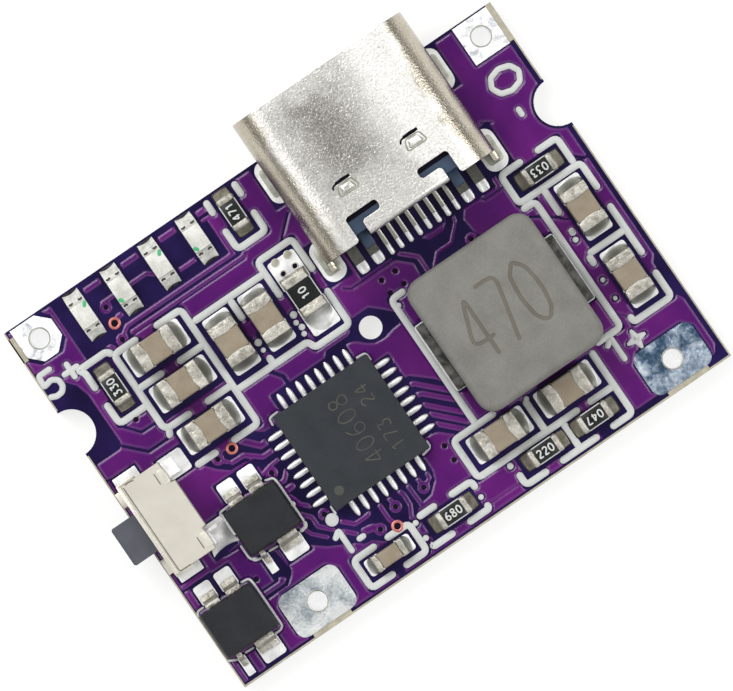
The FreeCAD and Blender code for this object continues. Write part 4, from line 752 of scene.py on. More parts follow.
def strokePiece(name, lines, width, base, height, corner=0.25, whole=False, flat=False):
    # lines are points, or points with a swell of their own
    clearPick()
    bpy.ops.curve.primitive_bezier_curve_add(location=(0, 0, 0))
    piece = bpy.context.object
    piece.name = name
    shape = piece.data
    shape.splines.clear()
    shape.dimensions = "3D"
    shape.twist_mode = "Z_UP"
    shape.bevel_depth = width / 2 * mm
    shape.bevel_resolution = 2
    shape.use_fill_caps = True
    for line in lines:
        joined = tuple(line[0]) == tuple(line[-1])
        if len(line[0]) == 3:
            run = line
        elif joined:
            # a closed sign starts half way along its first side, so that each corner is softened
            start = [(line[0][k] + line[1][k]) / 2 for k in (0, 1)]
            run = [(x, y, 1) for x, y in softLine([start] + list(line[1:]) + [start], corner)[:-1]]
        else:
            run = roundedRun(line, width, corner)
        spline = shape.splines.new("POLY")
        spline.points.add(len(run) - 1)
        # overlapping strokes keep a hair's breadth apart in height
        lift = (len(shape.splines) * 7 % 5) * 0.0006
        for point, (x, y, swell) in zip(spline.points, run):
            point.co = (x * mm, y * mm, (base + lift) * mm, 1)
            point.radius = swell
        spline.use_cyclic_u = joined
    bpy.ops.object.convert(target="MESH")
    piece = bpy.context.object
    pickMesh()
    bpy.ops.transform.resize(value=(1, 1, height / (width / 2)), center_override=(0, 0, base * mm))
    if not whole:
        cutFoot(base)
    objectMode()
    if flat:
        # printed ink is level on top and drops off at its edge
        spots = readSpots(piece) / mm
        heights = np.clip((spots[:, 2] - base) / height, -1, 1)
        drift = flatInk["waviness"] * np.sin(spots[:, 0] * flatInk["waveX"] + spots[:, 1] * flatInk["waveY"])
        spots[:, 2] = base + height * np.sin(heights * flatInk["shoulder"]) + drift * heights
        writeSpots(piece, spots * mm)
    smoothOver(piece, 50)
    return piece


def dotPiece(name, dots, base, height):
    # low domes, each a flattened ball cut at its foot
    pieces = []
    for x, y, radius in dots:
        clearPick()
        bpy.ops.mesh.primitive_uv_sphere_add(
            segments=20, ring_count=8, radius=radius * mm, location=(x * mm, y * mm, base * mm)
        )
        dot = bpy.context.object
        dot.scale = (1, 1, height / radius)
        settle(dot)
        editMode()
        cutFoot(base)
        objectMode()
        pieces.append(dot)
    piece = joinAll(name, pieces)
    smoothOver(piece, 50)
    return piece


# distances in the plane of the board
def distanceToLine(x, y, points):
    best = np.full(x.shape, 1e3)
    for (ax, ay), (bx, by) in zip(points, points[1:]):
        dx, dy = bx - ax, by - ay
        t = np.clip(((x - ax) * dx + (y - ay) * dy) / max(dx * dx + dy * dy, 1e-9), 0, 1)
        best = np.minimum(best, np.hypot(x - ax - t * dx, y - ay - t * dy))
    return best


def distanceToArea(x, y, points):
    # negative inside the outline
    ring = list(points) + [points[0]]
    inside = np.zeros(x.shape, bool)
    for (ax, ay), (bx, by) in zip(ring, ring[1:]):
        crosses = (ay > y) != (by > y)
        if ay != by:
            inside ^= crosses & (x < (bx - ax) * (y - ay) / (by - ay) + ax)
    edge = distanceToLine(x, y, ring)
    return np.where(inside, -edge, edge)


def separateBoxes(name):
    # the corners in millimetres of each separate lump of a node, found by walking over shared corners
    mesh = nodes[name].data
    leader = {}

    def find(key):
        while leader[key] != key:
            leader[key] = leader[leader[key]]
            key = leader[key]
        return key

    for face in mesh.polygons:
        keys = [tuple(round(v * 1e7) for v in mesh.vertices[index].co) for index in face.vertices]
        for key in keys:
            leader.setdefault(key, key)
        for key in keys[1:]:
            leader[find(keys[0])] = find(key)
    lumps = {}
    for key in leader:
        low, high = lumps.setdefault(find(key), ([1e9] * 3, [-1e9] * 3))
        for k in range(3):
            low[k] = min(low[k], key[k] * 1e-4)
            high[k] = max(high[k], key[k] * 1e-4)
    return sorted(lumps.values())


def rectangle(x0, y0, x1, y1):
    return [(x0, y0), (x1, y0), (x1, y1), (x0, y1)]


# the copper under the mask: a thin sheet whose surface is pushed up where there is copper
film = {
    "wide": 26.0, "deep": 18.9, "step": 0.072, "rise": 0.04, "sink": 0.024, "slope": 0.065,
    "waviness": 0.0016, "waves": ((2.1, 1.3), (-1.1, 2.9)),
    "landClear": 0.1, "inkClear": 0.035, "dotClear": 0.07, "padClear": 0.08, "padCorner": 0.45, "squareCorner": 0.05,
    "viaRadius": 0.27, "viaHole": 0.12,
}
wireHoles = {
    "pad_input_plus": (-11.8, 8.4), "pad_input_minus": (11.82, 8.42),
    "pad_battery_minus": (-8.2, -8.1), "pad_battery_plus": (10.78, -8.1),
}
sheetOutline = rectangle(-12.86, -9.24, 12.7, 9.3)
# where no copper lies: outlines, boxes (x0, y0, x1, y1) and channels (width, points)
bareAreas = [
    # left notch, charge lights, centre hole
    [(-13.2, 6.75), (-12.3, 6.6), (-11.6, 5.75), (-11.42, 5.1), (-11.42, 2.55), (-11.6, 2.35), (-13.2, 2.35)],
    [(-10.62, 9.6), (-10.62, 6.42), (-9.35, 6.42), (-9.2, 6.17), (-2.3, 6.17), (-2.0, 6.5), (-2.75, 6.78),
     (-2.75, 8.55), (-2.45, 8.7), (-2.45, 9.6)],
    [(-1.95, 0.55), (-1.65, 0.82), (-0.45, 0.82), (-0.1, 1.15), (0.1, 1.36), (0.95, 1.36), (1.35, 1.0),
     (1.8, 0.55), (1.8, -0.02), (1.3, -0.06), (0.8, -0.18), (0.3, -0.12), (0.0, 0.08), (-0.35, 0.42), (-0.6, 0.52)],
    # left of and below the controller, right of it, and below the socket
    [(-9.0, -0.3), (-8.6, -0.78), (-8.1, -1.2), (-7.1, -1.25), (-7.0, -1.9), (-7.15, -2.3), (-6.62, -2.45),
     (-6.62, -4.2), (-6.7, -5.1), (-7.1, -5.2), (-7.1, -5.85), (-6.5, -6.35), (-5.3, -6.98), (-5.05, -7.22),
     (-4.7, -7.25), (-4.25, -7.62), (-2.9, -7.62), (-1.9, -7.12), (-1.4, -7.05), (-0.9, -6.6), (-0.75, -6.2),
     (-0.75, -5.3), (-5.3, -5.3), (-5.3, -0.6), (-5.9, -0.6), (-6.35, -0.3)],
    [(0.45, -2.12), (0.75, -2.16), (1.65, -2.95), (1.88, -3.3), (1.88, -5.55), (1.02, -5.5), (0.38, -4.92),
     (0.1, -4.86), (0.0, -2.1)],
    [(3.05, 2.45), (3.72, 1.82), (3.66, 1.0), (6.95, 1.0), (6.7, 1.5), (6.62, 2.2), (6.95, 2.65), (3.0, 2.65)],
    # board's edge on the right and at the foot
    [(13.2, -3.7), (12.78, -3.75), (12.45, -4.1), (12.42, -5.75), (12.7, -6.15), (12.7, -8.6), (12.45, -8.95),
     (9.3, -9.05), (8.1, -9.05), (8.1, -9.6), (13.2, -9.6)],
    # where a thin lead stands
    [(-9.3, -5.2), (-9.3, -6.28), (-8.95, -6.3), (-8.6, -6.6), (-8.35, -6.3), (-8.5, -5.2)],
]
bareBoxes = [
    # inside the frames
    (-10.82, 3.45, -9.68, 6.05), (-9.36, 4.22, -6.1, 5.78), (-9.36, 2.22, -6.1, 3.86), (-9.3, 0.02, -6.1, 1.7),
    (-5.75, 1.78, -4.12, 5.02), (-3.68, 1.78, -2.15, 5.02), (-1.78, 1.4, -0.28, 5.6), (-2.15, 6.85, -1.05, 9.6),
    (9.2, 1.5, 11.9, 2.68), (10.5, -2.02, 12.1, 1.2), (10.5, -5.62, 12.1, -2.38), (0.9, -7.45, 4.2, -5.82),
    (4.55, -7.45, 7.8, -5.82), (2.48, -8.9, 5.02, -7.8), (5.35, -8.9, 7.82, -7.8), (-5.75, -8.86, -3.1, -7.68),
    (-2.45, -8.86, 0.2, -7.68),
    # between the controller's leads
    (-4.85, -0.3, -0.85, 0.58), (-6.08, -4.85, -5.2, -0.8), (-0.35, -4.85, 0.5, -0.85), (-4.85, -6.05, -0.85, -5.2),
    # below the socket
    (1.4, 2.55, 8.65, 4.2),
    # at the board's foot
    (6.25, -9.6, 6.85, -8.75), (-4.6, -9.6, -4.22, -8.6),
    # beside the bare laminate strips
    (-13.1, 7.8, -12.6, 9.15), (12.6, 7.45, 13.2, 9.6), (-9.25, -9.6, -7.15, -9.1), (9.7, -9.6, 11.95, -9.1),
    # where the button's foot stands
    (-10.95, -4.05, -9.62, -2.92),
]
bareLines = [
    # channels: width, then points
    (0.16, [(-11.45, 2.4), (-10.62, 1.55), (-9.55, 1.55)]), (0.14, [(-10.95, 3.1), (-10.4, 2.44), (-9.6, 2.42)]),
    (0.1, [(-10.9, 3.1), (-9.7, 3.1)]), (0.2, [(-4.25, 1.5), (-3.85, 0.95), (-3.85, 0.5)]),
    (0.12, [(-0.6, 5.9), (0.4, 6.8)]), (0.1, [(0.5, 2.68), (0.82, 2.44), (3.05, 2.44)]),
    (0.1, [(7.72, 2.55), (7.9, 2.37), (8.9, 2.37)]), (0.12, [(9.8, 0.15), (10.45, -0.42)]),
    (0.14, [(9.1, 0.62), (9.6, 0.3)]), (0.12, [(-13, -4.42), (-11.4, -4.42)]),
    (0.13, [(-9.95, -6.36), (-9.15, -6.36)]), (0.18, [(-9.95, -6.72), (-8.9, -6.72), (-8.6, -6.45)]),
    (0.07, [(0.55, -8.84), (2.15, -8.84)]), (0.14, [(11.9, 1.75), (12.25, 1.72), (12.6, 1.4)]),
    (0.09, [(-12.9, 1.55), (-12.6, 1.45), (-11.45, 1.45)]), (0.1, [(-10.9, -4.12), (-9.7, -4.18)]),
    (0.08, [(9.62, 5.3), (10.1, 5.0)]), (0.08, [(9.8, -5.0), (10.2, -5.45)]),
]
# where copper lies all the same: tracks (width, points) and vias under the mask
maskedTracks = [
    # among the charge lights
    (0.26, [(-9.1, 9.0), (-2.4, 9.0)]), (0.2, [(-8.7, 7.95), (-8.62, 8.12), (-6.3, 8.12), (-6.0, 7.88)]),
    (0.22, [(-8.68, 7.08), (-8.4, 7.25), (-7.9, 7.25)]),
    (0.2, [(-8.8, 6.3), (-8.55, 6.5), (-8.3, 6.68), (-2.2, 6.68)]),
    (0.18, [(-8.25, 6.33), (-2.35, 6.33), (-1.95, 6.6)]), (0.2, [(-5.3, 7.4), (-4.0, 7.4)]),
    (0.12, [(-2.95, 8.63), (-2.4, 8.63)]),
    # left of the controller
    (0.3, [(-7.0, -0.35), (-6.4, -1.02), (-6.0, -1.02)]),
    (0.22, [(-7.85, -0.92), (-7.25, -0.95), (-6.6, -1.48), (-6.0, -1.48)]),
    (0.16, [(-7.0, -2.1), (-6.6, -1.98), (-6.0, -1.95)]), (0.22, [(-6.0, -2.5), (-6.42, -2.88), (-6.65, -2.86)]),
    (0.3, [(-6.6, -3.28), (-6.28, -3.28)]), (0.2, [(-6.6, -3.6), (-6.42, -4.15), (-6.05, -4.5)]),
    (0.2, [(-6.62, -4.55), (-6.32, -4.9), (-6.32, -5.4), (-5.1, -6.62)]),
    (0.16, [(-6.9, -5.1), (-6.75, -5.5), (-6.25, -6.02)]), (0.16, [(-8.5, -0.3), (-8.0, -0.8)]),
    (0.16, [(-7.52, -0.4), (-7.35, -0.1)]),
    # below it
    (0.2, [(-5.42, -5.72), (-4.92, -6.22), (-4.22, -6.22), (-4.05, -6.0)]),
    (0.34, [(-4.72, -6.72), (-4.35, -6.8), (-4.12, -7.0)]), (0.2, [(-3.55, -6.0), (-3.55, -6.9), (-3.42, -7.35)]),
    (0.2, [(-3.05, -6.0), (-3.0, -6.55)]), (0.2, [(-2.55, -6.0), (-2.4, -6.35), (-2.42, -6.9), (-2.75, -7.5)]),
    (0.2, [(-2.03, -6.0), (-2.0, -7.4)]), (0.2, [(-1.52, -6.0), (-1.5, -6.5)]),
    (0.16, [(-1.02, -6.0), (-1.05, -6.4), (-1.4, -6.6)]),
    # right of it, down to the inductor
    (0.22, [(0.5, -2.52), (0.72, -2.56), (1.95, -3.8)]), (0.22, [(0.5, -3.04), (0.78, -3.14), (1.95, -4.3)]),
    (0.22, [(0.5, -3.55), (0.6, -3.62), (1.95, -4.98)]), (0.22, [(0.5, -4.05), (0.62, -4.14), (1.95, -5.5)]),
    (0.22, [(0.5, -4.55), (0.6, -4.65), (1.5, -5.55)]),
    # below the socket
    (0.2, [(3.28, 2.7), (3.45, 2.52), (4.05, 1.95), (4.05, 1.0)]),
    (0.26, [(4.72, 2.65), (4.95, 2.4), (5.58, 2.4), (5.85, 2.68)]),
    (0.15, [(4.35, 1.15), (4.85, 1.65), (5.6, 1.65), (6.28, 2.32), (6.36, 2.7)]),
]
maskedVias = [
    (-8.6, 7.88), (-8.8, 6.3), (-8.3, -0.45), (-6.68, -2.28), (-5.8, -5.1), (-4.12, -7.05), (-3.0, -6.6),
    (-1.5, -6.6), (6.42, 1.28), (-10.3, 3.05), (-9.9, -5.78), (0.3, -5.6), (0.3, -6.35), (2.12, 2.0), (2.85, 2.0),
    (2.12, 1.32), (2.85, 1.32),
]
bareVias = [(-8.68, 7.08), (-7.52, -0.4), (-3.42, -7.36)]
# x, y and radius of the legend's dots; the holes and notches have a bare ring's width too
markDots = [
    (-3.93, 2.4, 0.12), (-3.93, 2.8, 0.17), (-1.95, 2.93, 0.17), (-2.05, 2.58, 0.13), (-1.95, 2.28, 0.15),
    (-2.03, 1.98, 0.13), (2.18, -7.98, 0.15), (4.45, -5.92, 0.13), (-2.68, -7.7, 0.14), (-2.68, -8.5, 0.14),
    (0.35, -8.38, 0.13), (10.2, -1.35, 0.14), (10.22, -2.45, 0.12), (10.2, -3.5, 0.12), (10.2, -4.47, 0.11),
    (-6.68, -3.95, 0.12), (2.12, 0.65, 0.13), (-5.65, -5.5, 0.3),
]
holesThrough = [(0.55, 0.55, 0.52, 0.14), (-13.0, 4.12, 1.08, 0.1), (13.0, 4.12, 1.08, 0.12)]


# numbers and signs as strokes in a box one high
signWidth = 0.6
signGap = 0.26
glyphs = {
    "0": [[(0.3, 1), (0.08, 0.85), (0, 0.5), (0.08, 0.15), (0.3, 0), (0.52, 0.15), (0.6, 0.5), (0.52, 0.85),
           (0.3, 1)]],
    "1": [[(0.08, 0.76), (0.34, 1), (0.34, 0)]],
    "2": [[(0.03, 0.78), (0.12, 0.95), (0.32, 1), (0.54, 0.9), (0.56, 0.68), (0.02, 0.02), (0.6, 0.02)]],
    "3": [[(0.05, 0.95), (0.56, 0.98), (0.28, 0.6), (0.52, 0.5), (0.58, 0.28), (0.46, 0.05), (0.2, 0),
           (0.02, 0.12)]],
    "4": [[(0.44, 0), (0.44, 1), (0, 0.28), (0.62, 0.28)]],
    "6": [[(0.5, 1), (0.18, 0.8), (0.02, 0.4), (0.1, 0.08), (0.32, 0), (0.54, 0.1), (0.58, 0.34), (0.42, 0.54),
           (0.14, 0.5), (0.03, 0.36)]],
    "7": [[(0, 1), (0.6, 1), (0.22, 0)]],
    "8": [[(0.3, 0.54), (0.08, 0.68), (0.1, 0.92), (0.3, 1), (0.5, 0.92), (0.52, 0.68), (0.3, 0.54), (0.04, 0.36),
           (0.06, 0.08), (0.3, 0), (0.54, 0.08), (0.56, 0.36), (0.3, 0.54)]],
}


def markLines(text, x, y, height, turn=0, squeeze=1.0, gap=signGap):
    lines = []
    along = 0.0
    c, s = cos(radians(turn)), sin(radians(turn))
    for sign in text:
        for stroke in glyphs[sign]:
            flat = [((along + px * squeeze) * height, py * height) for px, py in stroke]
            lines.append([(x + px * c - py * s, y + px * s + py * c) for px, py in flat])
        along += (signWidth + gap) * squeeze
    return lines


legend = {"ink": 0.32, "thin": 0.12, "numbers": 0.27, "plus": 0.24, "ticks": 0.2, "rise": 0.052}
legendLines = [
    # round capacitors 1 to 3 and resistor 2
    [(-9.5, 4.08), (-9.5, 5.95), (-8.2, 5.95)], [(-7.35, 5.95), (-5.93, 5.95), (-5.93, -0.15), (-7.38, -0.15)],
    [(-9.5, 4.4), (-9.5, 2.1), (-9.3, 1.92), (-8.08, 1.92)], [(-9.5, 4.08), (-8.08, 4.08)],
    [(-7.38, 4.08), (-5.93, 4.08)], [(-7.38, 1.92), (-5.93, 1.92)], [(-9.3, 1.92), (-9.52, 1.5)],
    [(-9.3, -0.15), (-8.08, -0.15)], [(-11.0, 5.05), (-11.0, 6.0), (-11.2, 6.25), (-9.7, 6.25), (-9.5, 5.95)],
    [(-11.0, 4.4), (-11.0, 3.28), (-9.5, 3.28)],
    # round capacitors 4 and 5 and resistor 4
    [(-5.8, 5.17), (-2.0, 5.17)], [(-5.9, 1.6), (-2.1, 1.6), (-1.97, 1.2), (-0.12, 1.2), (-0.12, 3.1)],
    [(-3.9, 5.1), (-3.9, 3.95)], [(-3.9, 2.1), (-3.9, 1.6)],
    [(-1.97, 3.85), (-1.97, 5.75), (-0.12, 5.75), (-0.12, 4.0)],
    # round resistor 1
    [(-2.35, 7.8), (-2.35, 6.7), (-0.85, 6.7), (-0.85, 7.8)], [(-2.35, 8.5), (-2.35, 9.3)],
    [(-0.85, 8.5), (-0.85, 9.3)],
    # round resistor 3, capacitors 6 and 7
    [(10.25, 2.85), (9.05, 2.85), (9.05, 1.35), (12.3, 1.35), (12.3, -0.1)],
    [(10.9, 2.85), (12.05, 2.85), (12.05, 1.45)], [(10.28, 1.35), (10.28, -0.1)], [(12.3, -0.85), (12.3, -3.6)],
    [(12.3, -4.4), (12.3, -5.8), (10.28, -5.8), (10.28, -5.4)], [(10.28, -0.85), (10.28, -1.1)],
    [(10.28, -2.2), (12.3, -2.2)], [(10.28, -2.2), (10.28, -2.8)],
    # round the inductor
    [(1.98, -5.65), (1.98, 1.05), (2.75, 1.05)], [(8.95, 1.05), (9.68, 1.05), (9.68, -5.65), (8.3, -5.65)],
    # round capacitors 8 and 9, resistors 6 and 7
    [(3.0, -5.65), (0.72, -5.65), (0.72, -7.62), (6.15, -7.62)], [(6.55, -7.62), (7.98, -7.62)],
    [(4.35, -5.9), (4.35, -7.6)], [(7.98, -5.75), (7.98, -9.08), (6.8, -9.08)],
    [(2.3, -8.4), (2.3, -9.08), (3.5, -9.08)], [(4.1, -9.08), (6.2, -9.08)], [(5.18, -7.7), (5.18, -9.05)],
    # round capacitor 10 and resistor 5
    [(-4.65, -7.53), (-5.9, -7.53), (-5.9, -9.0), (-4.65, -9.0)],
    [(-4.2, -7.53), (-2.95, -7.53), (-2.95, -9.0), (-4.2, -9.0)], [(-2.5, -7.55), (-1.45, -7.55)],
    [(-0.8, -7.55), (0.38, -7.55), (0.38, -8.0)], [(-2.6, -8.8), (-2.6, -9.0), (-1.45, -9.0)],
    [(-0.8, -9.0), (0.38, -9.0), (0.38, -8.7)],
]
numberLines = [
    # a five and a plus sign
    [(-12.08, 7.03), (-12.78, 7.03), (-12.84, 6.5), (-12.4, 6.6), (-12.14, 6.42), (-12.12, 6.1),
     (-12.3, 5.88), (-12.6, 5.85), (-12.96, 6.02)],
    [(-11.92, 6.45), (-11.0, 6.45)], [(-11.46, 6.91), (-11.46, 5.99)],
    *markLines("0", 10.9, 6.8, 1.45, turn=-90, squeeze=1.3), [(11.37, 4.95), (11.37, 4.42)],
    *markLines("1", -6.2, -7.25, 1.2, squeeze=1.25), [(-5.25, -6.87), (-4.78, -6.87)],
    *markLines("1", 8.5, -7.05, 1.25, squeeze=1.25),
]
# the plus sign is a full star, wide in its middle: distance along its arms and swell
plusArm = [(-0.48, 0.5), (-0.35, 0.95), (-0.17, 1.35), (0, 1.75), (0.17, 1.35), (0.35, 0.95), (0.48, 0.5)]
plusX, plusY = 9.95, -6.48
plusLines = [[(plusX + along, plusY, swell) for along, swell in plusArm],
             [(plusX, plusY - along, swell) for along, swell in plusArm]]
thinLines = [
    # corner ticks of the controller, outlines of the two protection chips
    [(-5.45, -0.62), (-5.42, -0.24), (-4.92, -0.21)], [(-0.75, -0.21), (-0.28, -0.24), (-0.25, -0.66)],
    [(-5.36, -4.95), (-5.36, -5.4)], [(-0.24, -4.95), (-0.24, -5.3), (-0.75, -5.4)],
    [(-9.6, -2.8), (-9.6, -2.45), (-9.0, -2.42)], [(-7.15, -2.4), (-6.74, -2.5), (-6.7, -2.8), (-6.7, -4.85)],
    [(-9.62, -4.15), (-9.62, -4.88), (-9.35, -5.12), (-9.1, -5.12)], [(-8.75, -5.07), (-8.25, -5.1)],
    [(-12.95, -5.75), (-12.85, -5.5), (-12.48, -5.5)],
    [(-10.55, -5.52), (-10.14, -5.56), (-10.09, -5.85), (-10.09, -8.1), (-10.25, -8.23), (-10.6, -8.23)],
    [(-12.97, -8.05), (-12.62, -8.22), (-12.55, -8.22)], [(-12.15, -8.18), (-11.65, -8.2)],
]
wideTicks = [[(-7.12, -5.12), (-6.78, -5.1), (-6.68, -4.85)], [(-9.55, -4.95), (-9.3, -5.1)]]


def copperOutlines(x, y):
    # how far each spot lies inside the copper, below nought outside it
    copper = -distanceToArea(x, y, sheetOutline)
    for outline in bareAreas + [rectangle(*box) for box in bareBoxes]:
        copper = np.minimum(copper, distanceToArea(x, y, outline))
    for width, points in bareLines:
        copper = np.minimum(copper, distanceToLine(x, y, points) - width / 2)
    for width, points in maskedTracks:
        copper = np.maximum(copper, width / 2 - distanceToLine(x, y, points))
    for vx, vy in maskedVias + bareVias:
        copper = np.maximum(copper, film["viaRadius"] - np.hypot(x - vx, y - vy))
    openings = [(vx, vy, film["viaHole"]) for vx, vy in maskedVias]
    openings += [(dx, dy, radius + film["dotClear"]) for dx, dy, radius in markDots]
    openings += [(hx, hy, radius + ring) for hx, hy, radius, ring in holesThrough]
    for ox, oy, radius in openings:
        copper = np.minimum(copper, np.hypot(x - ox, y - oy) - radius)
    clear = film["landClear"]
    for (x0, y0, z0), (x1, y1, z1) in separateBoxes("component_lands"):
        outline = rectangle(x0 - clear, y0 - clear, x1 + clear, y1 + clear)
        copper = np.minimum(copper, distanceToArea(x, y, outline))
    clear = film["padClear"]
    for name in wireHoles:
        low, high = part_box(name)
        x0, y0, x1, y1 = low[0] / mm - clear, low[1] / mm - clear, high[0] / mm + clear, high[1] / mm + clear
        cut = film["squareCorner"] if name == "pad_input_minus" else film["padCorner"]
        outline = [(x0 + cut, y0), (x1 - cut, y0), (x1, y0 + cut), (x1, y1 - cut),
                   (x1 - cut, y1), (x0 + cut, y1), (x0, y1 - cut), (x0, y0 + cut)]
        copper = np.minimum(copper, distanceToArea(x, y, outline))
    # a thin dark line stays open beside the printed ink
    for kind, lines in (("ink", legendLines), ("numbers", numberLines), ("plus", plusLines), ("thin", thinLines)):
        half = legend[kind] / 2
        for points in lines:
            points = [point[:2] for point in points]
            if points[0] != points[-1]:
                ends = towards(points[0], points[1], half), towards(points[-1], points[-2], half)
                points = [ends[0]] + points[1:-1] + [ends[1]]
            copper = np.minimum(copper, distanceToLine(x, y, points) - half - film["inkClear"])
    return copper


def buildFilm():
    clearPick()
    acrossX, acrossY = int(film["wide"] / film["step"]), int(film["deep"] / film["step"])
    bpy.ops.mesh.primitive_grid_add(x_subdivisions=acrossX, y_subdivisions=acrossY, size=1, location=(0, 0, 0))
    piece = bpy.context.object
    piece.name = "maskOverCopper"
    piece.scale = (film["wide"] * mm, film["deep"] * mm, 1)
    settle(piece)
    spots = readSpots(piece)
    x, y = spots[:, 0] / mm, spots[:, 1] / mm
    slope = film["slope"]
    blend = np.clip((copperOutlines(x, y) + slope) / (2 * slope), 0, 1)
    blend = blend * blend * (3 - 2 * blend)
    # a little waviness, as cured mask has
    wave = film["waviness"] * sum(np.sin(x * alongX + y * alongY) for alongX, alongY in film["waves"])
    spots[:, 2] = (boardTop - film["sink"] + blend * (film["rise"] + film["sink"]) + wave * blend) * mm
    writeSpots(piece, spots)
    # what lies wholly under the board's surface goes
    pickOnly(piece)
    editMode()
    bpy.ops.mesh.select_all(action="DESELECT")
    objectMode()
    mesh = piece.data
    corners = np.empty(len(mesh.loops), dtype=np.int32)
    mesh.loops.foreach_get("vertex_index", corners)
    sunk = blend < 0.02
    mesh.polygons.foreach_set("select", sunk[corners].reshape(-1, 4).all(axis=1))
    editMode()
    bpy.ops.mesh.select_mode(type="FACE")
    bpy.ops.mesh.delete(type="FACE")
    objectMode()
    bpy.ops.object.shade_smooth()
    dress(piece, "copperMask", "board")
    print("copper sheet pushed up,", len(mesh.polygons), "faces")


buildFilm()


def buildLegend():
    def inked(name, lines, kind, lift=0.0, corner=0.25):
        return strokePiece(name, lines, legend[kind], boardTop, legend["rise"] + lift, corner=corner, flat=True)

    ink = joinAll("legendInk", [
        inked("frames", legendLines, "ink"),
        inked("numbers", numberLines, "numbers", 0.002, 0.1),
        inked("plusSign", plusLines, "plus", 0.004),
        inked("thinOutlines", thinLines, "thin", corner=0.15),
        inked("wideTicks", wideTicks, "ticks"),
    ])
    dress(ink, "whiteInk", "legend", "silkscreen")
    dress(dotPiece("inkDots", markDots, boardTop, legend["rise"]), "whiteInk", "legend")
    print("legend drawn")


buildLegend()


# vias: a copper ring round a hole where bare, and four in resistor 4's land; each hole is drawn as a near-black disc,
# painted shade
vias = {
    "copperRing": 0.28, "copperWidth": 0.13, "bareHole": 0.15, "maskedHole": 0.11, "holeLift": 0.054, "holeRise": 0.006,
    "plugged": [(-1.32, 5.27), (-0.67, 5.27)], "pluggedRing": 0.2, "plug": 0.16, "plugRise": 0.02,
    "open": [(-1.3, 4.68), (-0.68, 4.68)], "openRing": 0.16, "openHole": 0.13, "tinWidth": 0.05,
}


def ringPiece(name, spots, base, thickness):
    rings = []
    for x, y, radius in spots:
        clearPick()
        bpy.ops.mesh.primitive_torus_add(
            location=(x * mm, y * mm, base * mm), major_segments=28, minor_segments=8,
            major_radius=(radius - thickness / 2) * mm, minor_radius=thickness / 2 * mm,
        )
        ring = bpy.context.object
        ring.scale = (1, 1, 0.4)
        settle(ring)
        rings.append(ring)
    piece = joinAll(name, rings)
    smoothOver(piece, 60)
    return piece


def sized(spots, radius):
    return [(x, y, radius) for x, y in spots]


def buildVias():
    copperRings = sized(bareVias, vias["copperRing"])
    rings = ringPiece("copperViaRings", copperRings, boardTop + film["rise"], vias["copperWidth"])
    dress(rings, "bareCopper", "board")
    smallHoles = sized(maskedVias, vias["maskedHole"]) + sized(vias["open"], vias["openHole"])
    # the holes are near-black discs standing in for the shade inside them: painted shade
    holes = joinAll("viaHoles", [
        dotPiece("bareHoles", sized(bareVias, vias["bareHole"]), boardTop + vias["holeLift"], vias["holeRise"]),
        dotPiece("maskedHoles", smallHoles, landTop, vias["holeRise"]),
    ])
    dress(holes, "paintedShade", "board")
    tinRings = sized(vias["plugged"], vias["pluggedRing"]) + sized(vias["open"], vias["openRing"])
    dress(ringPiece("landViaRings", tinRings, landTop, vias["tinWidth"]), "plateSteel", "tin")
    plugs = dotPiece("landViaPlugs", sized(vias["plugged"], vias["plug"]), landTop, vias["plugRise"])
    dress(plugs, "bareLaminate", "tin")
    print("vias set")


buildVias()


# tinned walls and rims of the wire holes, and bare laminate where the mask stops at the board's edge
plating = {"radius": 0.438, "wall": 0.02, "belowTop": 0.01, "rimRadius": 0.47, "rimWidth": 0.06, "rimRise": 0.006}
laminate = {"sink": 0.001, "rise": 0.006, "rounding": 0.002}
rim = 0.07
laminateStrips = [
    (-13.0, 7.85, -12.73, 9.1), (12.73, 7.5, 13.0, 9.45), (-9.2, -9.45, -7.2, -9.2), (9.75, -9.45, 11.9, -9.2),
    (-13.0, -9.45, -13.0 + rim, 2.9), (-13.0, 5.3, -13.0 + rim, 9.45), (13.0 - rim, -9.45, 13.0, 2.9),
    (13.0 - rim, 5.35, 13.0, 7.5), (-13.0 + rim, -9.45, -9.2, -9.36), (-7.2, -9.45, 9.75, -9.36),
    (11.9, -9.45, 13.0 - rim, -9.36),
]


def buildHoleWalls():
    liners = []
    tall = landTop - plating["belowTop"]
    for x, y in wireHoles.values():
        clearPick()
        bpy.ops.mesh.primitive_cylinder_add(
            vertices=48, radius=plating["radius"] * mm, depth=tall * mm, end_fill_type="NOTHING",
            location=(x * mm, y * mm, landTop / 2 * mm),
        )
        liner = bpy.context.object
        wall = liner.modifiers.new("plating", "SOLIDIFY")
        wall.thickness = plating["wall"] * mm
        wall.offset = -1
        settle(liner)
        applyAll(liner)
        liners.append(liner)
    piece = joinAll("holePlating", liners)
    smoothOver(piece, 40)
    dress(piece, "brightTin", "tin")
    rims = []
    for x, y in wireHoles.values():
        turns = [(cos(radians(a)), sin(radians(a))) for a in list(range(0, 360, 15)) + [0]]
        rims.append([(x + plating["rimRadius"] * c, y + plating["rimRadius"] * s) for c, s in turns])
    padTop = topOf("pad_input_plus")
    piece = strokePiece("holeRims", rims, plating["rimWidth"], padTop, plating["rimRise"], corner=0.02)
    dress(piece, "oliveTin", "tin")


def buildLaminate():
    foot, top = boardTop - laminate["sink"], boardTop + laminate["rise"]
    pieces = [block("rim", (x0, y0, foot), (x1, y1, top)) for x0, y0, x1, y1 in laminateStrips]
    piece = joinAll("laminateRims", pieces)
    roundEdges(piece, laminate["rounding"], 1)
    dress(piece, "bareLaminate", "board")


buildHoleWalls()
buildLaminate()
print("hole walls and rims set")


# power inductor: the number is cut into its top face
core = {
    "corner": 0.75, "rim": 0.32, "number": "470", "numberX": 3.78, "numberY": -3.62, "numberHeight": 3.05,
    "stroke": 0.2, "cutterLift": 0.012, "cutterDepth": 0.05,
}


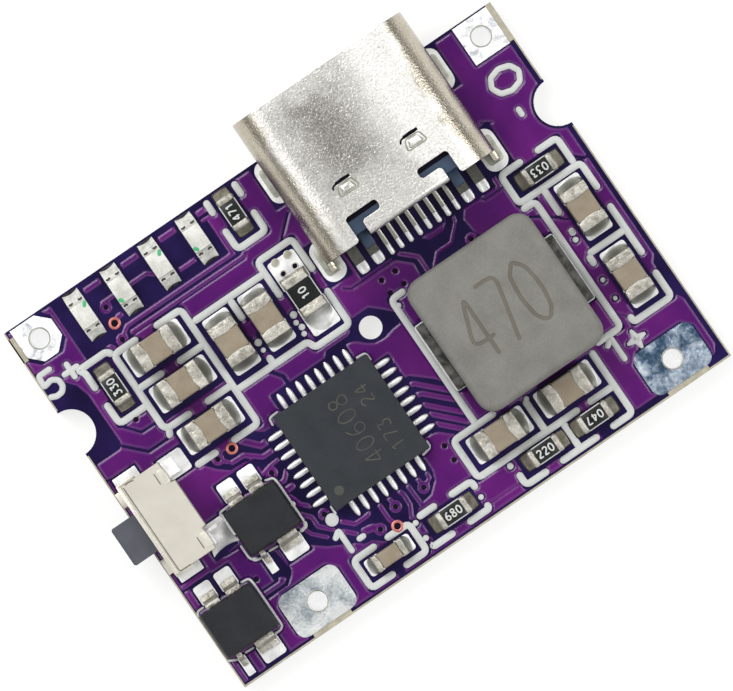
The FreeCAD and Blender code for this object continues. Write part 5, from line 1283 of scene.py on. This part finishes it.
def buildCore():
    low, high = [[v / mm for v in corner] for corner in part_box("inductor_core")]
    piece = roundedBlock("inductorCore", low, high, core["corner"], core["rim"])
    place(piece, "powder_core", "inductor_core")
    lines = markLines(core["number"], core["numberX"], core["numberY"], core["numberHeight"], squeeze=0.6, gap=0.2)
    cutter = strokePiece(
        "numberCutter", lines, core["stroke"], high[2] + core["cutterLift"], core["cutterDepth"], corner=0.5, whole=True
    )
    paint(cutter, finish["engraving"])
    paint(piece, finish["pressedPowder"], finish["engraving"])
    cut = piece.modifiers.new("engraved", "BOOLEAN")
    cut.operation = "DIFFERENCE"
    cut.object = cutter
    cut.solver = "EXACT"
    cut.use_self = True
    cut.material_mode = "TRANSFER"
    applyAll(piece)
    bpy.data.objects.remove(cutter)
    smoothOver(piece, 30)
    print("inductor engraved,", len(piece.data.polygons), "faces")


buildCore()


# charge lights: dark half-round windows by the ends and a green mark of polarity
lights = {
    "x": (-9.57, -7.58, -5.57, -3.57),
    "windowX": (0.35, 0.25, 0.13), "windowY": ((8.86, 8.81, 8.86), (7.42, 7.47, 7.42)), "window": 0.1,
    "markX": (0.36, 0.2), "markY": ((8.66, 8.4), (7.86, 7.62)), "mark": 0.17,
}


def buildLightMarks():
    dark, green = [], []
    for index, x in enumerate(lights["x"]):
        for side in (-1, 1):
            for row in lights["windowY"]:
                dark.append([(x + side * beside, y) for beside, y in zip(lights["windowX"], row)])
        # every second light is turned round
        side = -1 if index % 2 else 1
        green.append([(x + side * beside, y) for beside, y in zip(lights["markX"], lights["markY"][index % 2])])
    windows = strokePiece("lightWindows", dark, lights["window"], topOf("led_ends"), 0.012, corner=0.1)
    dress(windows, "pinMark", "lens")
    dress(strokePiece("lightMarks", green, lights["mark"], topOf("led_1"), 0.015), "greenMark", "lens")


buildLightMarks()


# which part an end, a land or a fillet belongs to
def partMiddles(*starts):
    middles = []
    for name in nodes:
        if name.startswith(starts) and name[-1].isdigit():
            low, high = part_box(name)
            middles.append(((low[0] + high[0]) / 2 / mm, (low[1] + high[1]) / 2 / mm, name))
    return middles


def facing(low, high, middles):
    # which way an end points, away from the middle of its part
    cx, cy = (low[0] + high[0]) / 2, (low[1] + high[1]) / 2
    px, py, name = min(middles, key=lambda spot: hypot(spot[0] - cx, spot[1] - cy))
    sideways = abs(cx - px) < abs(cy - py)
    sign = (1 if cy > py else -1) if sideways else (1 if cx > px else -1)
    return sideways, sign, name


def patchPiece(across, out, shape, floorZ):
    # a small sheet of solder shaped by a rule and closed underneath
    clearPick()
    bpy.ops.mesh.primitive_grid_add(x_subdivisions=across, y_subdivisions=out, size=2)
    patch = bpy.context.object
    spots = readSpots(patch)
    writeSpots(patch, np.stack(shape(spots[:, 0].copy(), spots[:, 1].copy()), axis=1) * mm)
    pickMesh()
    bpy.ops.mesh.extrude_region_move(TRANSFORM_OT_translate={"value": (0, 0, -0.00001)})
    bpy.ops.transform.resize(value=(1, 1, 0), center_override=(0, 0, floorZ * mm))
    bpy.ops.mesh.select_all(action="SELECT")
    bpy.ops.mesh.normals_make_consistent(inside=False)
    objectMode()
    return patch


# solder: a hollow fillet from each end of a part down to its land
filletLooks = {"capacitor": "fillet", "resistor": "tanSolder", "led": "lightTin"}
# reach in the middle, its change to the sides and the power of that; width at the part, its change outwards; hollow
filletSpread = {
    "capacitor": (1, -0.5, 2, 1.05, -0.12, 1.8),
    "resistor": (0.92, -0.12, 3, 0.9, -0.06, 1.3),
    "led": (0.78, 0.22, 2, 1, -0.06, 0.8),
}
filletSides = {"lower": 0.3, "power": 4}
filletLift = 0.006
bareReach = 0.04    # the upper land of resistor 4 stays bare


def filletShape(kind, u, v):
    # share of the reach, share of the width and share of the height, for u across and v outwards
    reach, drawn, power, width, narrowing, hollow = filletSpread[kind]
    sides = 1 - filletSides["lower"] * np.abs(u) ** filletSides["power"]
    return v * (reach + drawn * np.abs(u) ** power), u * (width + narrowing * v), (1 - v) ** hollow * sides


def buildFillets():
    middles = partMiddles("capacitor_", "resistor_", "led_")
    groups = {kind: [] for kind in filletLooks}
    for low, high in separateBoxes("solder_joints"):
        sideways, sign, name = facing(low, high, middles)
        kind = "capacitor" if name == "resistor_4" else name.split("_")[0]
        across, along = (0, 1) if sideways else (1, 0)
        wide = (high[across] - low[across]) / 2
        middle = (low[across] + high[across]) / 2
        reach = high[along] - low[along]
        start = low[along] if sign > 0 else high[along]
        if name == "resistor_4" and sign > 0:
            reach = bareReach

        def shape(u, v):
            far, side, rise = filletShape(kind, u, (v + 1) / 2)
            outwards, beside = start + sign * reach * far, middle + wide * side
            height = low[2] + (high[2] - low[2]) * rise + filletLift
            return (beside, outwards, height) if sideways else (outwards, beside, height)

        groups[kind].append(patchPiece(12, 8, shape, low[2]))
    replaced = ("solder_joints",)
    for kind, pieces in groups.items():
        piece = joinAll(kind + "Fillets", pieces)
        smoothOver(piece, 40)
        dress(piece, filletLooks[kind], "solder", *replaced)
        replaced = ()
    print("solder fillets set")


buildFillets()


# end caps of the capacitors, whose inner edge bows towards the middle
caps = {"bowLarge": 0.11, "bowSmall": 0.05, "setBack": 0.05, "rounding": 0.055}


def buildCaps():
    middles = partMiddles("capacitor_")
    pieces = []
    for low, high in separateBoxes("capacitor_ends"):
        sideways, sign, name = facing(low, high, middles)
        cap = block("cap", low, high)
        across, along = (0, 1) if sideways else (1, 0)
        pickEdges(cap, lambda a, b: abs(a[across] - b[across]) > 1e-5)
        bpy.ops.mesh.subdivide(number_cuts=8)
        objectMode()
        spots = readSpots(cap) / mm
        middle, half = (low[across] + high[across]) / 2, (high[across] - low[across]) / 2
        bow = 1 - ((spots[:, across] - middle) / half) ** 2
        inner = low[along] if sign > 0 else high[along]
        atInner = np.abs(spots[:, along] - inner) < 0.01
        deep = caps["bowLarge"] if half > 0.5 else caps["bowSmall"]
        spots[:, along] += np.where(atInner, sign * (caps["setBack"] - deep * bow), 0)
        writeSpots(cap, spots * mm)
        pieces.append(cap)
    piece = joinAll("capacitorCaps", pieces)
    roundEdges(piece, caps["rounding"], 3, 40)
    smoothOver(piece, 50)
    dress(piece, "capTin", "tin", "capacitor_ends")
    print("capacitor caps:", len(pieces))


buildCaps()


# tinned lands with rounded corners; those drawn dark are told apart
lands = {
    "legWidth": 1.1, "legLength": 1.9, "leadWidth": 0.26, "tailX": (1.5, 8.5), "tailY": (2.7, 3.9), "tailLength": 1.4,
    "partWidth": (0.75, 1.5), "partReach": 1.35, "partNarrower": 0.06, "rim": 0.012,
    "legCorner": 0.48, "leadCorner": 0.49, "tailCorner": 0.2, "partCorner": 0.14, "smallCorner": 0.05,
}


def buildLands():
    pale, dark = [], []
    middles = partMiddles("capacitor_", "resistor_", "led_")
    for low, high in separateBoxes("component_lands"):
        wide, deep = high[0] - low[0], high[1] - low[1]
        short = min(wide, deep)
        leg = abs(wide - lands["legWidth"]) < 0.01 and deep > lands["legLength"]
        lead = short < lands["leadWidth"]
        tail = low[1] < lands["tailY"][0] and high[1] > lands["tailY"][1] and deep < lands["tailLength"]
        tail = tail and lands["tailX"][0] < low[0] < lands["tailX"][1]
        middle = ((low[0] + high[0]) / 2, (low[1] + high[1]) / 2)
        away, owner = min((dist(middle, (x, y)), name) for x, y, name in middles)
        narrowest, widest = lands["partWidth"]
        owned = narrowest < short < widest and not leg and away < lands["partReach"]
        if owned:
            # no wider than the part that stands on it
            axis = 1 if wide < deep else 0
            low[axis] += lands["partNarrower"]
            high[axis] -= lands["partNarrower"]
        if leg:
            corner = lands["legCorner"]
        elif lead:
            corner = short * lands["leadCorner"]
        elif tail:
            corner = lands["tailCorner"]
        else:
            corner = lands["partCorner"] if short > narrowest else lands["smallCorner"]
        land = roundedBlock("land", low, high, corner, lands["rim"], 6 if leg else 4)
        darkened = owned and owner[:4] in ("resi", "led_") and owner != "resistor_4"
        (dark if darkened or lead and not tail else pale).append(land)
    for name, pieces, look, replaced in (
        ("paleLands", pale, "brightTin", ["component_lands"]),
        ("darkLands", dark, "darkTin", []),
    ):
        piece = joinAll(name, pieces)
        smoothOver(piece, 40, weighted=True)
        dress(piece, look, "tin", *replaced)
    print("lands:", len(pale), "pale,", len(dark), "dark")


buildLands()


# solder drawn out to a point along each of the controller's leads: distance out and swell
leadSolder = {
    "steps": [(-0.02, 0.95), (0.1, 1.08), (0.35, 1.12), (0.52, 1.05), (0.62, 0.86), (0.7, 0.6), (0.745, 0.25)],
    "firstX": -4.52, "firstY": -4.54, "pitch": 0.5, "aSide": 8, "width": 0.23, "rise": 0.075,
}


def buildLeadSolder():
    low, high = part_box("controller_body")
    x0, y0, x1, y1 = low[0] / mm, low[1] / mm, high[0] / mm, high[1] / mm
    steps = leadSolder["steps"]
    lines = []
    for index in range(leadSolder["aSide"]):
        x = leadSolder["firstX"] + leadSolder["pitch"] * index
        y = leadSolder["firstY"] + leadSolder["pitch"] * index
        lines.append([(x0 - out, y, swell) for out, swell in steps])
        lines.append([(x1 + out, y, swell) for out, swell in steps])
        lines.append([(x, y0 - out, swell) for out, swell in steps])
        lines.append([(x, y1 + out, swell) for out, swell in steps])
    dress(strokePiece("leadSolder", lines, leadSolder["width"], landTop, leadSolder["rise"]), "brightTin", "solder")


buildLeadSolder()


# details of the socket: solder at its tails and legs, raised spring pips, ribs of the insulator
tails = {
    "spans": [(1.53, 2.03), (2.33, 2.83), (3.12, 3.34), (3.62, 3.84), (4.12, 4.34), (4.62, 4.84),
              (5.12, 5.34), (5.62, 5.84), (6.12, 6.34), (6.62, 6.84), (7.13, 7.63), (7.93, 8.43)],
    # y and swell
    "steps": [(3.16, 0.92), (3.05, 1.0), (2.9, 1.0), (2.8, 0.92), (2.72, 0.72), (2.67, 0.4)],
    "width": 0.21, "rise": 0.05,
}
legs = {
    # x, from y and to y of each leg's land
    "spans": [(0.66, 3.05, 5.05), (0.66, 7.25, 9.35), (9.3, 3.05, 5.05), (9.3, 7.25, 9.35)],
    # distance in from the land's ends and swell
    "steps": [(0.35, 0.75), (0.45, 0.95), (0.6, 1)],
    "width": 0.78, "rise": 0.05,
}
pips = {
    "x": (3.2, 6.78), "top": 4.4,
    # distance from each pip's middle, and y
    "outer": [(-0.38, 6.5), (0.36, 6.5), (0.5, 5.98), (-0.52, 5.98), (-0.38, 6.5)],
    "inner": [(-0.22, 6.42), (0.2, 6.42), (0.34, 6.06), (-0.36, 6.06), (-0.22, 6.42)],
    "slit": [(-0.62, 6.42), (-0.55, 6.57), (-0.3, 6.62), (0, 6.68), (0.28, 6.62)],
    "padHalf": 0.16, "padY": (6.1, 6.37), "padSink": 0.02, "padRise": 0.055, "padCorner": 0.05, "padEdge": 0.03,
    # width, height and corner of each stroke
    "strokes": {"outer": (0.07, 0.03, 0.14), "inner": (0.06, 0.025, 0.08), "slit": (0.09, 0.008, 0.1)},
}
insulator = {
    "ribX": (2.6, 7.36), "ribHalf": 0.25, "ribY": (3.5, 4.34), "ribZ": (1.7, 3.3),
    # where a black sheet is laid over the insulator under the shell's cut-outs: painted shadow
    "shadowX": ((2.29, 3.85), (6.1, 7.67)), "shadowY": (4.9, 5.12), "shadowZ": (4.061, 4.075),
}


def buildSocketSolder():
    tips = []
    for x0, x1 in tails["spans"]:
        half = (x1 - x0) / 2 * 0.98
        # a wide tail's tip is a few strokes side by side
        count = max(1, round(half / 0.11))
        for part in range(count):
            shift = 0 if count == 1 else (part / (count - 1) * 2 - 1) * (half - 0.1)
            tips.append([((x0 + x1) / 2 + shift, y, swell) for y, swell in tails["steps"]])
    dress(strokePiece("tailSolder", tips, tails["width"], landTop, tails["rise"]), "brightTin", "solder")
    wells = []
    for x, y0, y1 in legs["spans"]:
        wells.append([(x, y0 + inset, swell) for inset, swell in legs["steps"]]
                     + [(x, y1 - inset, swell) for inset, swell in legs["steps"][::-1]])
    dress(strokePiece("legSolder", wells, legs["width"], landTop, legs["rise"], flat=True), "oliveTin", "solder")


def buildPips():
    top, half, (y0, y1) = pips["top"], pips["padHalf"], pips["padY"]

    def stroked(name, shape):
        width, height, corner = pips["strokes"][shape]
        lines = [[(x + beside, y) for beside, y in pips[shape]] for x in pips["x"]]
        return strokePiece(name, lines, width, top, height, corner=corner)

    foot, crown = top - pips["padSink"], top + pips["padRise"]
    raised = joinAll("springPips", [
        roundedBlock("pad", (x - half, y0, foot), (x + half, y1, crown), pips["padCorner"], pips["padEdge"], 3)
        for x in pips["x"]
    ])
    # the stamped outlines take the darker olive tin: painted shade along the shell's creases
    dress(joinAll("pipFrames", [stroked("outer", "outer"), stroked("inner", "inner")]), "oliveTin", "shell_steel")
    smoothOver(raised, 40)
    # the pips' crowns take the paler bright tin: painted highlight on the shell's own steel
    dress(raised, "brightTin", "shell_steel")
    # the slits are near-black strokes: painted shade
    dress(stroked("pipSlits", "slit"), "paintedShade", "shell_steel")


def buildInsulatorDetails():
    half, (y0, y1), (z0, z1) = insulator["ribHalf"], insulator["ribY"], insulator["ribZ"]
    ribs = joinAll("insulatorRibs", [
        roundedBlock("rib", (x - half, y0, z0), (x + half, y1, z1), 0.09, 0.05, 3) for x in insulator["ribX"]
    ])
    smoothOver(ribs, 40)
    dress(ribs, "darkInsulator", "insulator")
    # a black sheet just over the insulator, under the shell's cut-outs, as their shadow: painted shadow
    (y0, y1), (z0, z1) = insulator["shadowY"], insulator["shadowZ"]
    paintedShadow = joinAll("insulatorPaintedShadow", [
        block("shade", (x0, y0, z0), (x1, y1, z1)) for x0, x1 in insulator["shadowX"]
    ])
    dress(paintedShadow, "paintedShade", "insulator")
    print("socket details set")


buildSocketSolder()
buildPips()
buildInsulatorDetails()


# details of the button: seams of the front plate, side tabs, a blob of solder
button = {
    "seams": [
        [(-12.42, 0.86), (-12.43, -3.5), (-12.38, -3.58), (-11.85, -3.59)],
        [(-12.3, 0.9), (-12.1, 0.93), (-11.85, 0.88)],
        [(-10.97, 0.6), (-10.97, 0.05)], [(-10.97, -2.75), (-10.97, -3.35)],
    ],
    "seamWidth": 0.05, "seamRise": 0.006, "seamCorner": 0.08,
    "tabX": (-10.86, -10.5), "tabY": (-0.08, -3.42), "tabLength": 0.74, "tabFoot": 2.0, "tabRise": 0.015,
    "tabCorner": 0.08, "tabEdge": 0.05,
    "blobX": -10.2, "blobY": -3.3, "blobReach": (0.68, 0.64), "blobWaist": (0.16, 0.2), "blobHeight": 0.55,
    "blobPower": 1.2, "blobLift": 0.006,
}


def buildButtonDetails():
    top = topOf("button_base")
    width, rise, corner = button["seamWidth"], button["seamRise"], button["seamCorner"]
    seams = strokePiece("buttonSeams", button["seams"], width, top, rise, corner=corner)
    dress(seams, "engraving", "button_cream")
    (x0, x1), foot, crown, long = button["tabX"], button["tabFoot"], top + button["tabRise"], button["tabLength"]
    tabs = joinAll("buttonTabs", [
        roundedBlock("tab", (x0, y, foot), (x1, y + long, crown), button["tabCorner"], button["tabEdge"], 3)
        for y in button["tabY"]
    ])
    smoothOver(tabs, 40)
    dress(tabs, "plateCream", "button_cream")

    def shape(u, v):
        (reachX, reachY), (waistX, waistY), power = button["blobReach"], button["blobWaist"], button["blobPower"]
        x = button["blobX"] + reachX * u * (1 - waistX * (1 - v ** 2))
        y = button["blobY"] + reachY * v * (1 - waistY * (1 - u ** 2))
        dome = button["blobHeight"] * (1 - u ** 2) ** power * (1 - v ** 2) ** power
        return x, y, landTop + button["blobLift"] + dome

    blob = patchPiece(14, 14, shape, landTop)
    blob.name = "terminalSolder"
    smoothOver(blob, 50)
    dress(blob, "pulledSolder", "solder")


buildButtonDetails()


# faint plain numbers in two columns on the controller, and its first-pin mark
controller = {
    "numbers": [("40608", -2.08, -4.5, 0.9, 0.93), ("173", -1.05, -4.55, 0.62, 1.0), ("24", -1.05, -2.2, 0.62, 1.0)],
    "stroke": 0.055, "pin": (-4.65, -4.6, 0.22),
}


def buildControllerMarks():
    lines = []
    for text, x, y, height, squeeze in controller["numbers"]:
        lines += markLines(text, x, y, height, turn=90, squeeze=squeeze)
    top = topOf("controller_body")
    faint = strokePiece("controllerNumbers", lines, controller["stroke"], top, 0.004, corner=0.12)
    dress(faint, "faintMark", "chip_black")
    dress(dotPiece("firstPinSpot", [controller["pin"]], top, 0.006), "pinMark", "chip_black")


buildControllerMarks()


# plain numbers on the resistors' glaze, with the way each is turned
coatNumbers = {
    "numbers": [("471", 90), ("330", 90), ("033", 180), ("10", 90), ("680", 0), ("220", 0), ("047", 180)],
    "height": 0.36, "squeeze": 0.95, "stroke": 0.07,
}


def buildResistorNumbers():
    height, squeeze = coatNumbers["height"], coatNumbers["squeeze"]
    lines = []
    for index, (text, turn) in enumerate(coatNumbers["numbers"], 1):
        low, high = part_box("resistor_%d" % index)
        length = (len(text) * (signWidth + signGap) - signGap) * squeeze * height
        c, s = cos(radians(turn)), sin(radians(turn))
        x = (low[0] + high[0]) / 2 / mm - length / 2 * c + height / 2 * s
        y = (low[1] + high[1]) / 2 / mm - length / 2 * s - height / 2 * c
        lines += markLines(text, x, y, height, turn=turn, squeeze=squeeze)
    top = topOf("resistor_coats")
    dress(strokePiece("resistorNumbers", lines, coatNumbers["stroke"], top, 0.008, corner=0.05), "whiteInk", "legend")


buildResistorNumbers()
print("small numbers and marks set")
